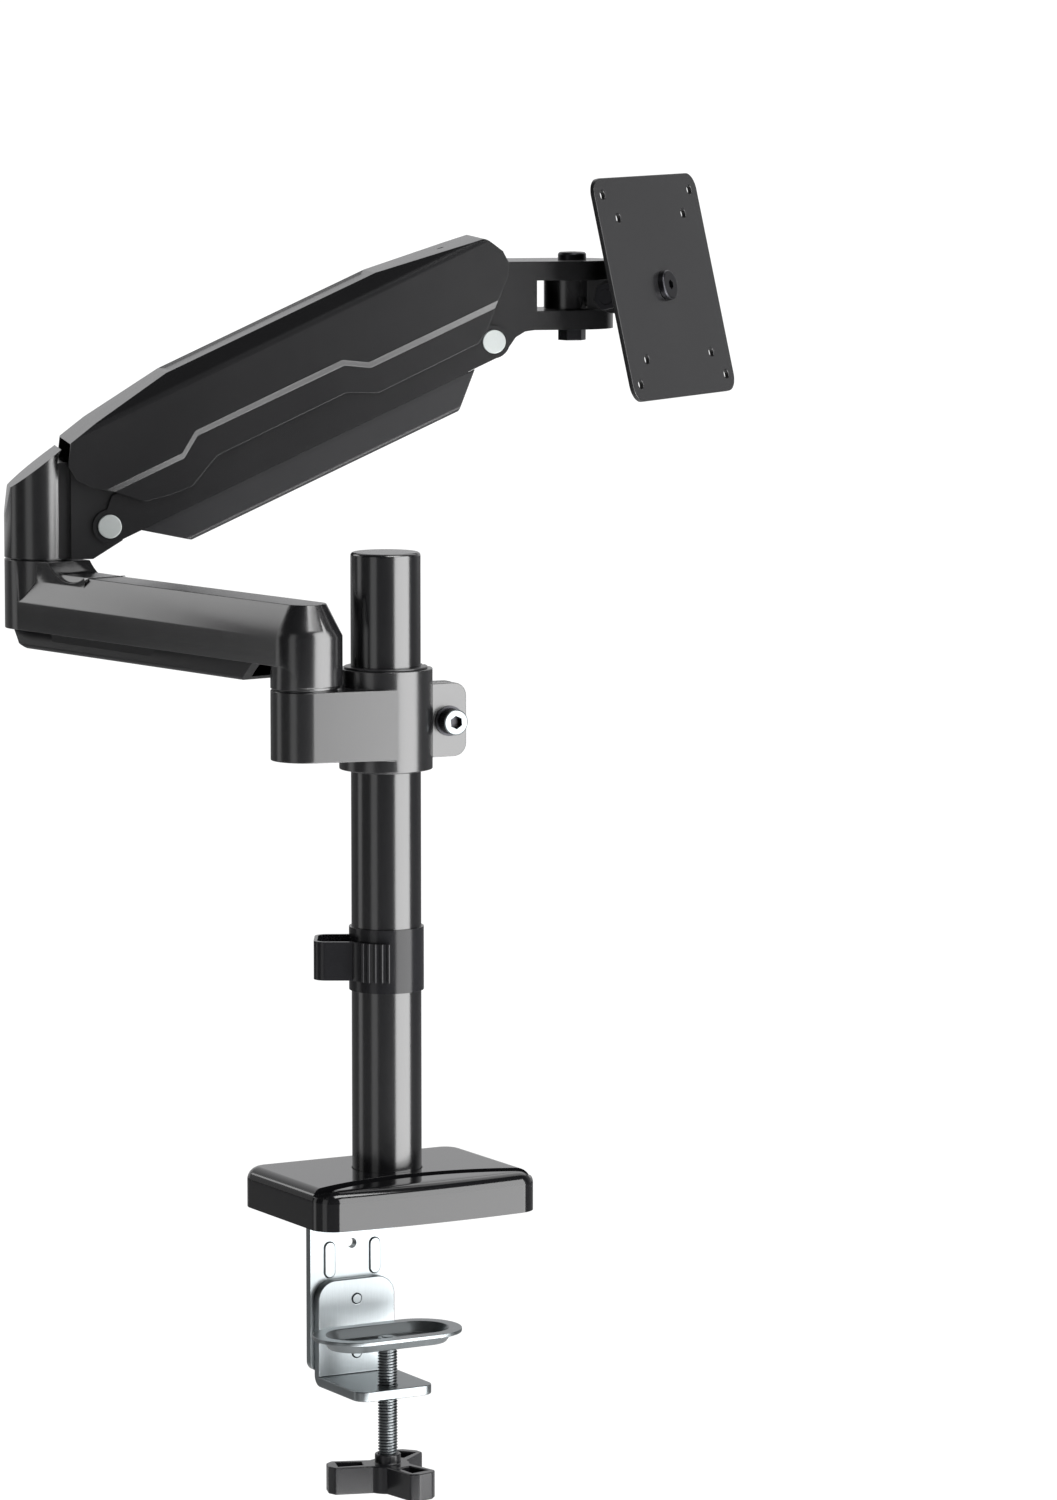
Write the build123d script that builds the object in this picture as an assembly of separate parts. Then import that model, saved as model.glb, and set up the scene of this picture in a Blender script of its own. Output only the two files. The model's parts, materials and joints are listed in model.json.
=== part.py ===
from build123d import *

import os
from math import cos, radians, sin

# A gas-spring monitor arm on a desk clamp.  Millimetres and degrees.
# Row frame: origin on the desk top under the pole, +Z up, X along the long edge
# of the base, -Y towards the person at the desk.

# ---- driving dimensions ----
FIT = 0.05  # running clearance on a radius
GAP = 0.3  # clearance between bodies that only pass each other

BASE_LENGTH = 124.0
BASE_DEPTH = 90.0
BASE_MID_Y = -2.5
BASE_TOP = 21.0
BASE_UNDER = 0.8
BASE_BOW = 3.5
PAD_THICK = 2.0
PLATE_THICK = 5.0
PLATE_TOP = PAD_THICK + PLATE_THICK

POLE_R = 17.5
POLE_WALL = 1.8
POLE_TOP = 326.0
CAP_TOP = 332.0

UPRIGHT_Y = 38.0
UPRIGHT_THICK = 4.5
UPRIGHT_HALF = 24.0
UPRIGHT_BOTTOM = -89.0
HOLE_ROWS = [-24.5, -52.5, -80.5]
RIB_Z = -32.0
JAW_THICK = 5.0
JAW_HALF = 22.0
JAW_TOP = -42.0
JAW_BOTTOM = -96.0
JAW_REACH = 44.0

ROD_R = 5.0
ROD_NECK_R = 3.0
ROD_BOTTOM = -138.0
DISH_LENGTH = 80.0
DISH_WIDTH = 43.0
DISH_RIM = -63.0
DISH_DEPTH = 5.0
DISH_THICK = 2.0
KNOB_TOP = -131.0
KNOB_HEIGHT = 14.0
KNOB_R = 31.0

CLIP_BOTTOM = 112.0
CLIP_TOP = 144.0
CLIP_TURN = -29.5
HOOK_BOTTOM = 118.0
HOOK_TOP = 137.5
HOOK_BAND = 1.8

COLLAR_R = 23.4
COLLAR_BORE = 18.9
COLLAR_BOTTOM = 223.5
COLLAR_TOP = 274.0
CLAMP_TURN = 175.5
CLAMP_BOTTOM = 230.0
CLAMP_TOP = 265.0
SHOULDER_REACH = 43.5
SHOULDER_R = 17.5
SHOULDER_RECESS = 240.0
EAR_REACH = 41.0
EAR_THICK = 5.5
EAR_SLOT = 1.5
BOLT_X = -31.6
BOLT_Z = 246.5
BOLT_R = 4.0

LOWER_TURN = 98.5
LOWER_LENGTH = 235.0
LOWER_HALF = 18.5
LOWER_TOP = 308.0
LOWER_SHOULDER = 292.0
LOWER_UNDER = 277.7
LOWER_COVER_BOTTOM = 268.0
SHAFT_R = 8.0
BUSH_R = 10.0
FLANGE_R = 16.0
FLANGE_THICK = 0.6
ELBOW_R = 19.3
ELBOW_SEAM = 314.0
ELBOW_RECESS = 288.0

ARM_TURN = -19.5
ARM_PITCH = 24.9
LINK_LENGTH = 224.0
PIN_X = 33.5
PIN_Z = 332.0
PIN_STEP_X = -7.0
PIN_STEP_Z = 31.0
PIN_R = 3.5
PIN_CAP_R = 6.2
PIN_CAP_THICK = 1.0
EAR_HALF = 21.8
SLOT_HALF = 12.0
LINK_IN = 22.3
LINK_OUT = 24.3
COVER_HALF = 29.0
COVER_STEP = 1.7
COVER_WALL = 1.5
SPRING_S = 150.0
SPRING_N = -4.0
ANCHOR_X = 21.0
ANCHOR_Z = 346.0
SPRING_R = 9.0
SPRING_ROD_R = 3.5

HEAD_Z0 = 432.0
HEAD_Z1 = 468.0
WINDOW_Z0 = 442.0
WINDOW_Z1 = 458.0
WINDOW_X = 260.1
SWIVEL_X = 282.7
SWIVEL_R = 15.0
PAN_TURN = -38.0
TILT_UP = 13.0
TILT_REACH = 32.0
TILT_BARREL_R = 9.0
TILT_BARREL_HALF = 12.0
VESA_BACK = 21.5
VESA_SIZE = 118.0
VESA_THICK = 2.5
VESA_HOLE_R = 2.6

EPS = 0.01  # keeps cutting tools clear of the faces they cut


# ---- helpers ----
def disc(radius, z0, z1, x=0.0, y=0.0):
    """An upright cylinder between two heights."""
    return Pos(x, y, z0) * extrude(Circle(radius), amount=z1 - z0)


def cross_rod(radius, y0, y1, x, z):
    """A cylinder lying across, along Y."""
    return Pos(x, y0, z) * Rot(-90, 0, 0) * extrude(Circle(radius), amount=y1 - y0)


def block(x0, x1, y0, y1, z0, z1):
    """A box between two corners."""
    size = Box(x1 - x0, y1 - y0, z1 - z0)
    return Pos((x0 + x1) / 2, (y0 + y1) / 2, (z0 + z1) / 2) * size


def plan(points, z0, z1):
    """An outline in X and Y, drawn up between two heights."""
    return Pos(0, 0, z0) * extrude(make_face(Polyline(*points, close=True)), amount=z1 - z0)


def side(points, y0, y1):
    """An outline in X and Z, drawn across from y0 to y1."""
    face = make_face(Polyline(*points, close=True))
    return Pos(0, y1, 0) * Rot(90, 0, 0) * extrude(face, amount=y1 - y0)


def side_hull(circles, y0, y1):
    """The tangent hull of circles (x, z, radius) in X and Z, drawn across."""
    rounds = Sketch() + [Pos(x, z) * Circle(r) for x, z, r in circles]
    return Pos(0, y1, 0) * Rot(90, 0, 0) * extrude(make_hull(rounds.edges()), amount=y1 - y0)


def both_sides(shape):
    """A piece and its mirror image across the X-Z plane."""
    return shape + mirror(shape, Plane.XZ)


def hex_prism(across, z0, z1):
    """A hexagon on end, by its width across flats."""
    return Pos(0, 0, z0) * extrude(RegularPolygon(across / 2, 6, major_radius=False), amount=z1 - z0)


def lay(shape, x, z):
    """A piece built round +Z, laid across along +Y through (x, z)."""
    return Pos(x, 0, z) * Rot(-90, 0, 0) * shape


def on_shoulder(shape):
    """From the lower arm's own frame, X along the arm, to the row frame."""
    turn = radians(CLAMP_TURN)
    foot = Pos(SHOULDER_REACH * cos(turn), SHOULDER_REACH * sin(turn), 0)
    return foot * Rot(0, 0, LOWER_TURN) * shape


def on_elbow(shape):
    """From the upper arm's own frame, X along the arm, to the row frame."""
    return on_shoulder(Pos(LOWER_LENGTH, 0, 0) * Rot(0, 0, ARM_TURN - LOWER_TURN) * shape)


def on_link(shape):
    """From the links' frame, X along the lower link from its rear pin."""
    return on_elbow(Pos(PIN_X, 0, PIN_Z) * Rot(0, -ARM_PITCH, 0) * shape)


def on_swivel(shape):
    """From the head knuckle's frame, X towards the screen."""
    return on_elbow(Pos(SWIVEL_X, 0, (WINDOW_Z0 + WINDOW_Z1) / 2) * Rot(0, 0, PAN_TURN) * shape)


def on_tilt(shape):
    """From the tilting head's frame, X out of the mounting plate."""
    return on_swivel(Pos(TILT_REACH, 0, 0) * Rot(0, -TILT_UP, 0) * shape)


def link_point(x, z):
    """Where a step in the arm's level frame lies in the links' pitched frame."""
    pitch = radians(ARM_PITCH)
    return x * cos(pitch) + z * sin(pitch), z * cos(pitch) - x * sin(pitch)


UPPER_S, UPPER_N = link_point(PIN_STEP_X, PIN_STEP_Z)  # upper pin line, from the lower
ANCHOR_S, ANCHOR_N = link_point(ANCHOR_X - PIN_X, ANCHOR_Z - PIN_Z)


def head_pin():
    """The front lower pin in the arm's level frame."""
    pitch = radians(ARM_PITCH)
    return PIN_X + LINK_LENGTH * cos(pitch), PIN_Z + LINK_LENGTH * sin(pitch)


# ---- base and desk clamp ----
def base_outline(margin):
    """The base's plan with a bowed front, inset by a margin."""
    x = BASE_LENGTH / 2 - margin
    back = BASE_MID_Y + BASE_DEPTH / 2 - margin
    front = BASE_MID_Y - BASE_DEPTH / 2 + margin
    bow = ThreePointArc((-x, front), (0, front - BASE_BOW), (x, front))
    rest = Polyline((x, front), (x, back), (-x, back), (-x, front))
    face = make_face(bow + rest)
    return fillet(face.vertices(), 12 - margin)


def base_cover():
    shell = Pos(0, 0, BASE_UNDER) * extrude(base_outline(0), amount=BASE_TOP - BASE_UNDER)
    shell = fillet(shell.faces().sort_by(Axis.Z)[-1].edges(), 6.5)
    shell -= extrude(base_outline(3), amount=15.5)
    boss = disc(POLE_R + 3, 11.5, 16)
    shell += boss
    shell -= disc(POLE_R + 0.4, 0, BASE_TOP + 1)
    groove = disc(131.5, 17.5, 30, 0, -153) - disc(122, 17, 31, 0, -153)
    shell -= groove
    notch = UPRIGHT_HALF + 0.4
    shell -= block(-notch, notch, 37, 60, 0, 12)
    return shell


def desk_pad():
    plate = Pos(0, -3) * RectangleRounded(BASE_LENGTH - 14, BASE_DEPTH - 13, 8)
    return extrude(plate, amount=PAD_THICK)


PLATE_SCREWS = [(-18, 27), (18, 27), (-18, -21), (18, -21)]


def base_plate():
    plate = Pos(0, -3, PAD_THICK) * extrude(
        RectangleRounded(BASE_LENGTH - 16, BASE_DEPTH - 17, 6), amount=PLATE_THICK
    )
    for x, y in PLATE_SCREWS:
        plate -= disc(2.5, 0, 10, x, y)
    plate -= disc(4.05, 0, 10)
    return plate - disc(8, 0, PAD_THICK + 2.5)


def plate_screw(x, y):
    """A socket button screw through the clamp's flange into the base plate."""
    top = PLATE_TOP + UPRIGHT_THICK
    screw = disc(2.5, PAD_THICK + 1, top, x, y) + disc(4.7, top, top + 2.6, x, y)
    head = screw.faces().sort_by(Axis.Z)[-1].edges()
    screw = fillet(head, 1.4)
    socket = Pos(x, y, top + 1) * extrude(RegularPolygon(1.6, 6), amount=3)
    return screw - socket


def clamp_upright():
    """The bent steel plate that hangs behind the desk edge."""
    top = PLATE_TOP + UPRIGHT_THICK
    back = UPRIGHT_Y + UPRIGHT_THICK
    profile = Polyline(
        (-25, PLATE_TOP), (UPRIGHT_Y, PLATE_TOP), (UPRIGHT_Y, UPRIGHT_BOTTOM),
        (back, UPRIGHT_BOTTOM), (back, top), (-25, top), close=True,
    )
    face = make_face(profile)
    face = fillet(face.vertices().filter_by(lambda v: v.X > 40 and v.Y > 8), 5.5)
    sheet = extrude(Plane.YZ * face, amount=UPRIGHT_HALF, both=True)
    sheet -= disc(POLE_R + 0.3, 0, 20)
    for x, y in PLATE_SCREWS:
        sheet -= disc(2.5, 5, 20, x, y)
    for z in HOLE_ROWS:
        sheet -= cross_rod(2.6, UPRIGHT_Y - 1, back + 1, 0, z)
    for x in (-13, 13):
        rib = Pos(x, UPRIGHT_Y, RIB_Z) * Rot(90, 0, 0) * extrude(SlotOverall(19, 6.4, 90), amount=1)
        sheet += fillet(rib.faces().sort_by(Axis.Y)[0].edges(), 0.8)
    for x in (-UPRIGHT_HALF, UPRIGHT_HALF):
        corner = sheet.edges().filter_by(Axis.Y).filter_by(
            lambda e: abs(e.center().X - x) < 0.1 and e.center().Z < UPRIGHT_BOTTOM + 1
        )
        sheet = fillet(corner, 5)
    return sheet


def clamp_jaw():
    """The lower L bracket that carries the clamp screw."""
    front = UPRIGHT_Y - JAW_THICK
    tip = UPRIGHT_Y - JAW_THICK - JAW_REACH
    profile = Polyline(
        (UPRIGHT_Y, JAW_TOP), (UPRIGHT_Y, JAW_BOTTOM), (tip, JAW_BOTTOM),
        (tip, JAW_BOTTOM + JAW_THICK), (front, JAW_BOTTOM + JAW_THICK), (front, JAW_TOP),
        close=True,
    )
    face = make_face(profile)
    heel = face.vertices().filter_by(lambda v: v.X > 37 and v.Y < -90)
    face = fillet(heel, 5.5)
    bracket = extrude(Plane.YZ * face, amount=JAW_HALF, both=True)
    toes = bracket.edges().filter_by(Axis.Z).filter_by(lambda e: e.center().Y < tip + 1)
    bracket = fillet(toes, 7)
    shoulders = bracket.edges().filter_by(Axis.Y).filter_by(lambda e: e.center().Z > JAW_TOP - 1)
    bracket = fillet(shoulders, 10)
    bracket -= disc(ROD_R + FIT, JAW_BOTTOM - 1, JAW_BOTTOM + JAW_THICK + 1)
    for z in HOLE_ROWS[1:]:
        bracket -= cross_rod(2.6, front - 1, UPRIGHT_Y + 1, 0, z)
    return bracket


def jaw_screw(z):
    """A screw from the back of the upright through the jaw."""
    back = UPRIGHT_Y + UPRIGHT_THICK
    front = UPRIGHT_Y - JAW_THICK
    shank = cross_rod(2.6, front - 0.6, back, 0, z)
    shank = fillet(shank.faces().sort_by(Axis.Y)[0].edges(), 0.5)
    head = cross_rod(4.6, back, back + 2.6, 0, z)
    head = fillet(head.faces().sort_by(Axis.Y)[-1].edges(), 1.4)
    socket = Pos(0, back + 1.2, z) * Rot(-90, 0, 0) * extrude(RegularPolygon(1.7, 6), amount=3)
    return shank + head - socket


def pole():
    return disc(POLE_R, PLATE_TOP, POLE_TOP) - disc(POLE_R - POLE_WALL, 0, POLE_TOP + 1)


def pole_foot():
    """The threaded disc welded inside the foot of the pole."""
    return disc(POLE_R - POLE_WALL, PLATE_TOP, PLATE_TOP + 12) - disc(BOLT_R, 0, 30)


def pole_bolt():
    """The countersunk bolt that holds the pole down from under the plate."""
    return disc(BOLT_R, PAD_THICK + 0.2, PLATE_TOP + 9) + disc(7.9, PAD_THICK + 0.2, PAD_THICK + 2.5)


def pole_cap():
    crown = disc(POLE_R, POLE_TOP, CAP_TOP)
    crown = fillet(crown.faces().sort_by(Axis.Z)[-1].edges(), 1.6)
    skirt = disc(POLE_R - POLE_WALL, POLE_TOP - 9, POLE_TOP)
    return crown + skirt - disc(POLE_R - POLE_WALL - 1.6, POLE_TOP - 10, POLE_TOP + 2)


# ---- clamp screw ----
def stadium(length, width, z):
    return Pos(0, 0, z) * SlotOverall(length, width)


def press_plate():
    """The dished stadium that presses up under the desk."""
    floor = DISH_RIM - DISH_DEPTH
    under = extrude(stadium(DISH_LENGTH, DISH_WIDTH, DISH_RIM - DISH_THICK), amount=DISH_THICK)
    under += loft([
        stadium(DISH_LENGTH - 16, DISH_WIDTH - 16, floor - DISH_THICK),
        stadium(DISH_LENGTH - 9, DISH_WIDTH - 9, DISH_RIM - DISH_THICK),
    ])
    dish = loft([
        stadium(DISH_LENGTH - 20, DISH_WIDTH - 20, floor),
        stadium(DISH_LENGTH - 13, DISH_WIDTH - 13, DISH_RIM + EPS),
    ])
    return under - dish - disc(ROD_NECK_R + GAP, floor - 5, DISH_RIM)


def clamp_rod():
    neck_bottom = DISH_RIM - DISH_DEPTH - DISH_THICK - GAP
    return disc(ROD_R, ROD_BOTTOM, neck_bottom) + disc(ROD_NECK_R, neck_bottom, DISH_RIM - 3.2)


def press_rivet():
    """The collar swaged on the rod's neck, inside the dish."""
    bottom = DISH_RIM - DISH_DEPTH + GAP
    ring = disc(5.2, bottom, bottom + 1.5)
    ring = fillet(ring.faces().sort_by(Axis.Z)[-1].edges(), 0.7)
    return ring - disc(ROD_NECK_R, bottom - 1, bottom + 3)


def clamp_knob():
    bottom = KNOB_TOP - KNOB_HEIGHT
    body = disc(11, bottom, KNOB_TOP)
    lobe = plan([(0, -7), (KNOB_R - 3, -8), (KNOB_R, -4), (KNOB_R, 4), (KNOB_R - 3, 8), (0, 7)],
                bottom, KNOB_TOP)
    lobe -= plan([(13, -3.5), (26, -5), (26, 5), (13, 3.5)], bottom + 4, KNOB_TOP + 1)
    for angle in (40.5, 160.5, 280.5):
        body += Rot(0, 0, angle) * lobe
    body += disc(6.6, KNOB_TOP, KNOB_TOP + 5)
    return body - disc(ROD_R, ROD_BOTTOM, KNOB_TOP + 6)


# ---- cable clip ----
def cable_clip():
    """A snap collar with an open hook for cables."""
    ring = disc(POLE_R + 1.3, CLIP_BOTTOM, CLIP_TOP) - disc(POLE_R + FIT, CLIP_BOTTOM - 1, CLIP_TOP + 1)
    back = FilletPolyline(
        (-12.6, 14.4), (-35.4, 13.4), (-35.4, -12.6), (-15.9, -12.6), radius=5.5
    )
    lip_r = POLE_R + 3.2
    ends = [(lip_r * cos(radians(a)), lip_r * sin(radians(a))) for a in (217.5, 247, 276)]
    lip = ThreePointArc(*ends)
    band = trace(back, HOOK_BAND) + trace(lip, HOOK_BAND)
    hook = Pos(0, 0, HOOK_BOTTOM) * extrude(band, amount=HOOK_TOP - HOOK_BOTTOM)
    for angle in range(238, 275, 9):
        x = (lip_r + 0.9) * cos(radians(angle))
        y = (lip_r + 0.9) * sin(radians(angle))
        hook += disc(0.9, HOOK_BOTTOM, HOOK_TOP, x, y)
    hook -= disc(POLE_R + 0.8, 100, 150)
    return Rot(0, 0, CLIP_TURN) * (ring + hook)


# ---- pole clamp, in its own frame: X towards the shoulder ----
def pole_liner():
    """The thin plastic sleeve between pole and collar, split at the ears."""
    sleeve = disc(COLLAR_BORE, COLLAR_BOTTOM - 1, COLLAR_TOP + 1)
    sleeve += disc(COLLAR_BORE + 2, COLLAR_TOP, COLLAR_TOP + 1)
    sleeve -= disc(POLE_R + FIT, 200, 300)
    return Rot(0, 0, CLAMP_TURN) * (sleeve - block(-30, 0, -EAR_SLOT, EAR_SLOT, 200, 300))


def pole_clamp():
    """The cast collar, its shoulder barrel and the two pinch ears."""
    web = Sketch() + [Circle(COLLAR_R), Pos(SHOULDER_REACH, 0) * Circle(SHOULDER_R)]
    body = Pos(0, 0, CLAMP_BOTTOM) * extrude(make_hull(web.edges()), amount=CLAMP_TOP - CLAMP_BOTTOM)
    body += disc(COLLAR_R, COLLAR_BOTTOM, COLLAR_TOP)
    ears = block(-EAR_REACH, -15, -EAR_SLOT - EAR_THICK, EAR_SLOT + EAR_THICK, 228.5, 265.5)
    corners = ears.edges().filter_by(Axis.Y).filter_by(lambda e: e.center().X < -30)
    body += fillet(corners, 6.6)
    body -= disc(COLLAR_BORE, 200, 300)
    body -= block(-60, 0, -EAR_SLOT, EAR_SLOT, 200, 300)
    body -= cross_rod(BOLT_R + 0.2, -20, 20, BOLT_X, BOLT_Z)
    body -= disc(BUSH_R, 200, 300, SHOULDER_REACH)
    body -= disc(14.5, 200, SHOULDER_RECESS, SHOULDER_REACH)
    return Rot(0, 0, CLAMP_TURN) * body


def clamp_bolt():
    """The socket-head pinch screw with its washer."""
    face = EAR_SLOT + EAR_THICK
    shank = disc(BOLT_R, -face - 8, face + 1)
    head = disc(6.5, face + 1, face + 9)
    head = fillet(head.faces().sort_by(Axis.Z)[-1].edges(), 0.8)
    socket = Pos(0, 0, face + 5) * extrude(RegularPolygon(3.4, 6), amount=5)
    bolt = shank + head + disc(7.6, face, face + 1) - socket
    return Rot(0, 0, CLAMP_TURN) * lay(bolt, BOLT_X, BOLT_Z)


def clamp_nut():
    face = EAR_SLOT + EAR_THICK
    nut = hex_prism(13, -face - 6.5, -face) - disc(BOLT_R, -30, 30)
    return Rot(0, 0, CLAMP_TURN) * lay(nut, BOLT_X, BOLT_Z)


def bushing(z0, z1):
    """A flanged sleeve for an upright joint shaft."""
    sleeve = disc(BUSH_R, z0, z1) + disc(FLANGE_R, z1, z1 + FLANGE_THICK)
    return sleeve - disc(SHAFT_R + FIT, z0 - 1, z1 + 2)


# ---- lower arm, in its own frame: X from shoulder to elbow ----
def lower_arm():
    """The cast box arm: round ends, sloped shoulders, an upright elbow barrel."""
    ends = Sketch() + [Circle(LOWER_HALF), Pos(LOWER_LENGTH, 0) * Circle(LOWER_HALF)]
    outline = make_hull(ends.edges())
    body = Pos(0, 0, LOWER_UNDER) * extrude(outline, amount=LOWER_SHOULDER - LOWER_UNDER)
    top = Sketch() + [Circle(10.5), Pos(LOWER_LENGTH, 0) * Circle(10.5)]
    body += loft([
        Pos(0, 0, LOWER_SHOULDER) * outline,
        Pos(0, 0, LOWER_TOP) * make_hull(top.edges()),
    ])
    body += disc(ELBOW_R, LOWER_UNDER, ELBOW_SEAM, LOWER_LENGTH)
    # concave ramp from the arm's top up to the elbow barrel
    ramp_r = 26.0
    ramp = block(176, 232, -13, 13, LOWER_TOP - 8, ELBOW_SEAM)
    ramp -= cross_rod(ramp_r, -30, 30, 189, LOWER_TOP + ramp_r - 3)
    body += ramp
    # the neck that stands on the shoulder, and a skirt behind it with an arch
    seat = CLAMP_TOP + FLANGE_THICK + GAP
    body += disc(SHOULDER_R, seat, LOWER_UNDER + 1)
    skirt = disc(LOWER_HALF, seat + 1.5, LOWER_UNDER + 1) - block(-2, 30, -30, 30, 200, 300)
    body += skirt - cross_rod(13, -30, 30, 0, seat)
    # cable channel along the underside
    body -= block(28, 205, -14, 14, LOWER_UNDER - 1, 290)
    body -= disc(SHAFT_R, 200, 290)
    body -= disc(BUSH_R, 270, 330, LOWER_LENGTH)
    body -= disc(14.5, 270, ELBOW_RECESS, LOWER_LENGTH)
    return on_shoulder(body)


def lower_cable_cover():
    """The snap-on trough under the lower arm."""
    z0 = LOWER_COVER_BOTTOM
    z1 = LOWER_UNDER
    body = side([(22, z1), (32, z0), (LOWER_LENGTH - 9, z0), (LOWER_LENGTH + 14, z1)], -17, 17)
    lower_edges = body.edges().filter_by(Axis.X).group_by(Axis.Z)[0]
    body = fillet(lower_edges, 2.5)
    hollow = side([(30, z1 + 1), (38, z0 + 2), (205, z0 + 2), (205, z1 + 1)], -14, 14)
    body -= hollow
    # the cable way in at the shoulder end and out at the elbow end
    body -= block(10, 50, -11, 11, z0 + 2, z1 + 1)
    body -= block(180, LOWER_LENGTH + 30, -11, 11, z0 + 2, z1 - 1.7)
    return on_shoulder(body)


def shoulder_shaft():
    return on_shoulder(disc(SHAFT_R, SHOULDER_RECESS - 9, 290))


def joint_washer(top):
    return disc(14, top - 2, top) - disc(SHAFT_R, top - 5, top + 5)


def joint_nut(top):
    return hex_prism(22, top - 6.5, top) - disc(SHAFT_R, top - 10, top + 5)


# ---- elbow yoke, in the upper arm's frame ----
def rear_pins():
    """Lower and upper rear pins in the arm's level frame."""
    return (PIN_X, PIN_Z), (PIN_X + PIN_STEP_X, PIN_Z + PIN_STEP_Z)


def elbow_yoke():
    """The turned-and-forked casting on top of the elbow."""
    seat = ELBOW_SEAM + FLANGE_THICK + GAP
    (x1, z1), (x2, z2) = rear_pins()
    drum = disc(ELBOW_R, seat, 380)
    drum += block(2, 13.7, -ELBOW_R + 1.5, ELBOW_R - 1.5, seat, 380)
    crown = side(
        [(-30, 300), (-30, 336), (-ELBOW_R - 0.1, 336), (-ELBOW_R + 2.5, 352), (10, 372.5),
         (16, 372.5), (16, 300)], -30, 30,
    )
    drum &= crown
    cheeks = side(
        [(13.6, seat), (25, seat), (x1 + 7, z1 - 7.5), (x1 + 8, z1), (x2 + 9, z2), (13.6, z2 - 1)],
        -EAR_HALF, EAR_HALF,
    )
    cheeks += side_hull([(x1, z1, 10), (x2, z2, 9.5)], -EAR_HALF, EAR_HALF)
    body = drum + cheeks
    # room for the cover's roof as the arm lifts
    sweep = cross_rod(19.4, -40, 40, x2, z2) & block(0, 20, -40, 40, z2 + 2, 400)
    body -= sweep
    # the fork's slot takes the gas spring
    body -= block(11, 60, -SLOT_HALF, SLOT_HALF, 322, 400)
    body -= cross_rod(PIN_R + FIT, -40, 40, x1, z1)
    body -= cross_rod(PIN_R + FIT, -40, 40, x2, z2)
    body -= cross_rod(3, -15, 15, ANCHOR_X, ANCHOR_Z)
    body -= disc(SHAFT_R, 300, 344)
    body -= yoke_screw_tool(2.5)
    return on_elbow(body)


def yoke_screw_tool(radius, length=9.0):
    """A rod square to the yoke's sloped crown, just under its face."""
    return Pos(-9, 0, 357) * Rot(0, -35, 0) * Pos(0, 0, -length / 2) * Cylinder(radius, length)


def yoke_screw():
    """The tension screw's head, sunk in the crown."""
    screw = Pos(-9, 0, 357) * Rot(0, -35, 0) * (
        Pos(0, 0, -5.2) * Cylinder(2.5, 7.5) - Pos(0, 0, -1.4) * extrude(RegularPolygon(1.5, 6), amount=3)
    )
    return on_elbow(screw)


def elbow_shaft():
    return on_elbow(disc(SHAFT_R, 279, 344))


def spring_anchor():
    return on_elbow(cross_rod(3, -15, 15, ANCHOR_X, ANCHOR_Z))


# ---- links, in the links' frame: X from the rear pin, Z square to the link ----
def cheek(points, ends):
    """One link cheek plate: an outline joined to its round ends."""
    plate = side(points, LINK_IN, LINK_OUT)
    for x, z, r in ends:
        plate += cross_rod(r, LINK_IN, LINK_OUT, x, z)
    return both_sides(plate)


def lower_link():
    """The U channel between the lower pins."""
    points = [(-8.7, 1), (-4, -7.7), (0, -9), (LINK_LENGTH, -8.4), (LINK_LENGTH + 6, 5),
              (LINK_LENGTH - 4, 14), (8, 14), (3, 9)]
    body = cheek(points, [(0, 0, 8.8), (LINK_LENGTH, 0, 8.4)])
    body += block(28, 205, -LINK_OUT, LINK_OUT, -9, -7)
    body -= cross_rod(PIN_R, -40, 40, 0, 0)
    body -= cross_rod(PIN_R, -40, 40, LINK_LENGTH, 0)
    return on_link(body)


def lower_pin(s):
    """A through pin with a bright cap at each end."""
    caps = cross_rod(PIN_CAP_R, LINK_OUT, LINK_OUT + PIN_CAP_THICK, s, 0)
    caps = fillet(caps.faces().sort_by(Axis.Y)[-1].edges(), 0.4)
    return on_link(cross_rod(PIN_R, -LINK_OUT, LINK_OUT, s, 0) + both_sides(caps))


def link_cable_cover():
    """The snap-on trough under the lower link."""
    top = -9.0
    bottom = -25.4
    body = side([(14, top), (36, bottom), (192, bottom), (209, top)], -22.5, 22.5)
    body = fillet(body.edges().filter_by(Axis.X).group_by(Axis.Z)[0], 2.5)
    body -= side([(0, top + 1), (0, bottom + 2), (230, bottom + 2), (230, top + 1)], -20.5, 20.5)
    return on_link(body)


def upper_link():
    """The plate channel between the upper pins, under the cover."""
    s0 = UPPER_S
    s1 = UPPER_S + LINK_LENGTH
    n = UPPER_N
    body = cheek([(s0, n - 8), (s1, n - 8), (s1, n + 8), (s0, n + 8)], [(s0, n, 9), (s1, n, 9)])
    body += block(s0 + 40, s0 + 180, -LINK_OUT, LINK_OUT, n + 8, n + 10)
    for s, z in ((s0, n), (s1, n), (s0 + SPRING_S, n + SPRING_N)):
        body -= cross_rod(PIN_R, -40, 40, s, z)
    return on_link(body)


def inner_half():
    """Half-width inside the cover, above its step."""
    return COVER_HALF - COVER_WALL


def rear_upper_pin(sign):
    """A stub pin on one side, leaving the fork's slot clear."""
    y0, y1 = sorted((sign * (SLOT_HALF + 0.5), sign * inner_half()))
    return on_link(cross_rod(PIN_R, y0, y1, UPPER_S, UPPER_N))


def front_upper_pin():
    half = inner_half()
    return on_link(cross_rod(PIN_R, -half, half, UPPER_S + LINK_LENGTH, UPPER_N))


def spring_pin():
    return on_link(cross_rod(PIN_R, -LINK_OUT, LINK_OUT, UPPER_S + SPRING_S, UPPER_N + SPRING_N))


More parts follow.
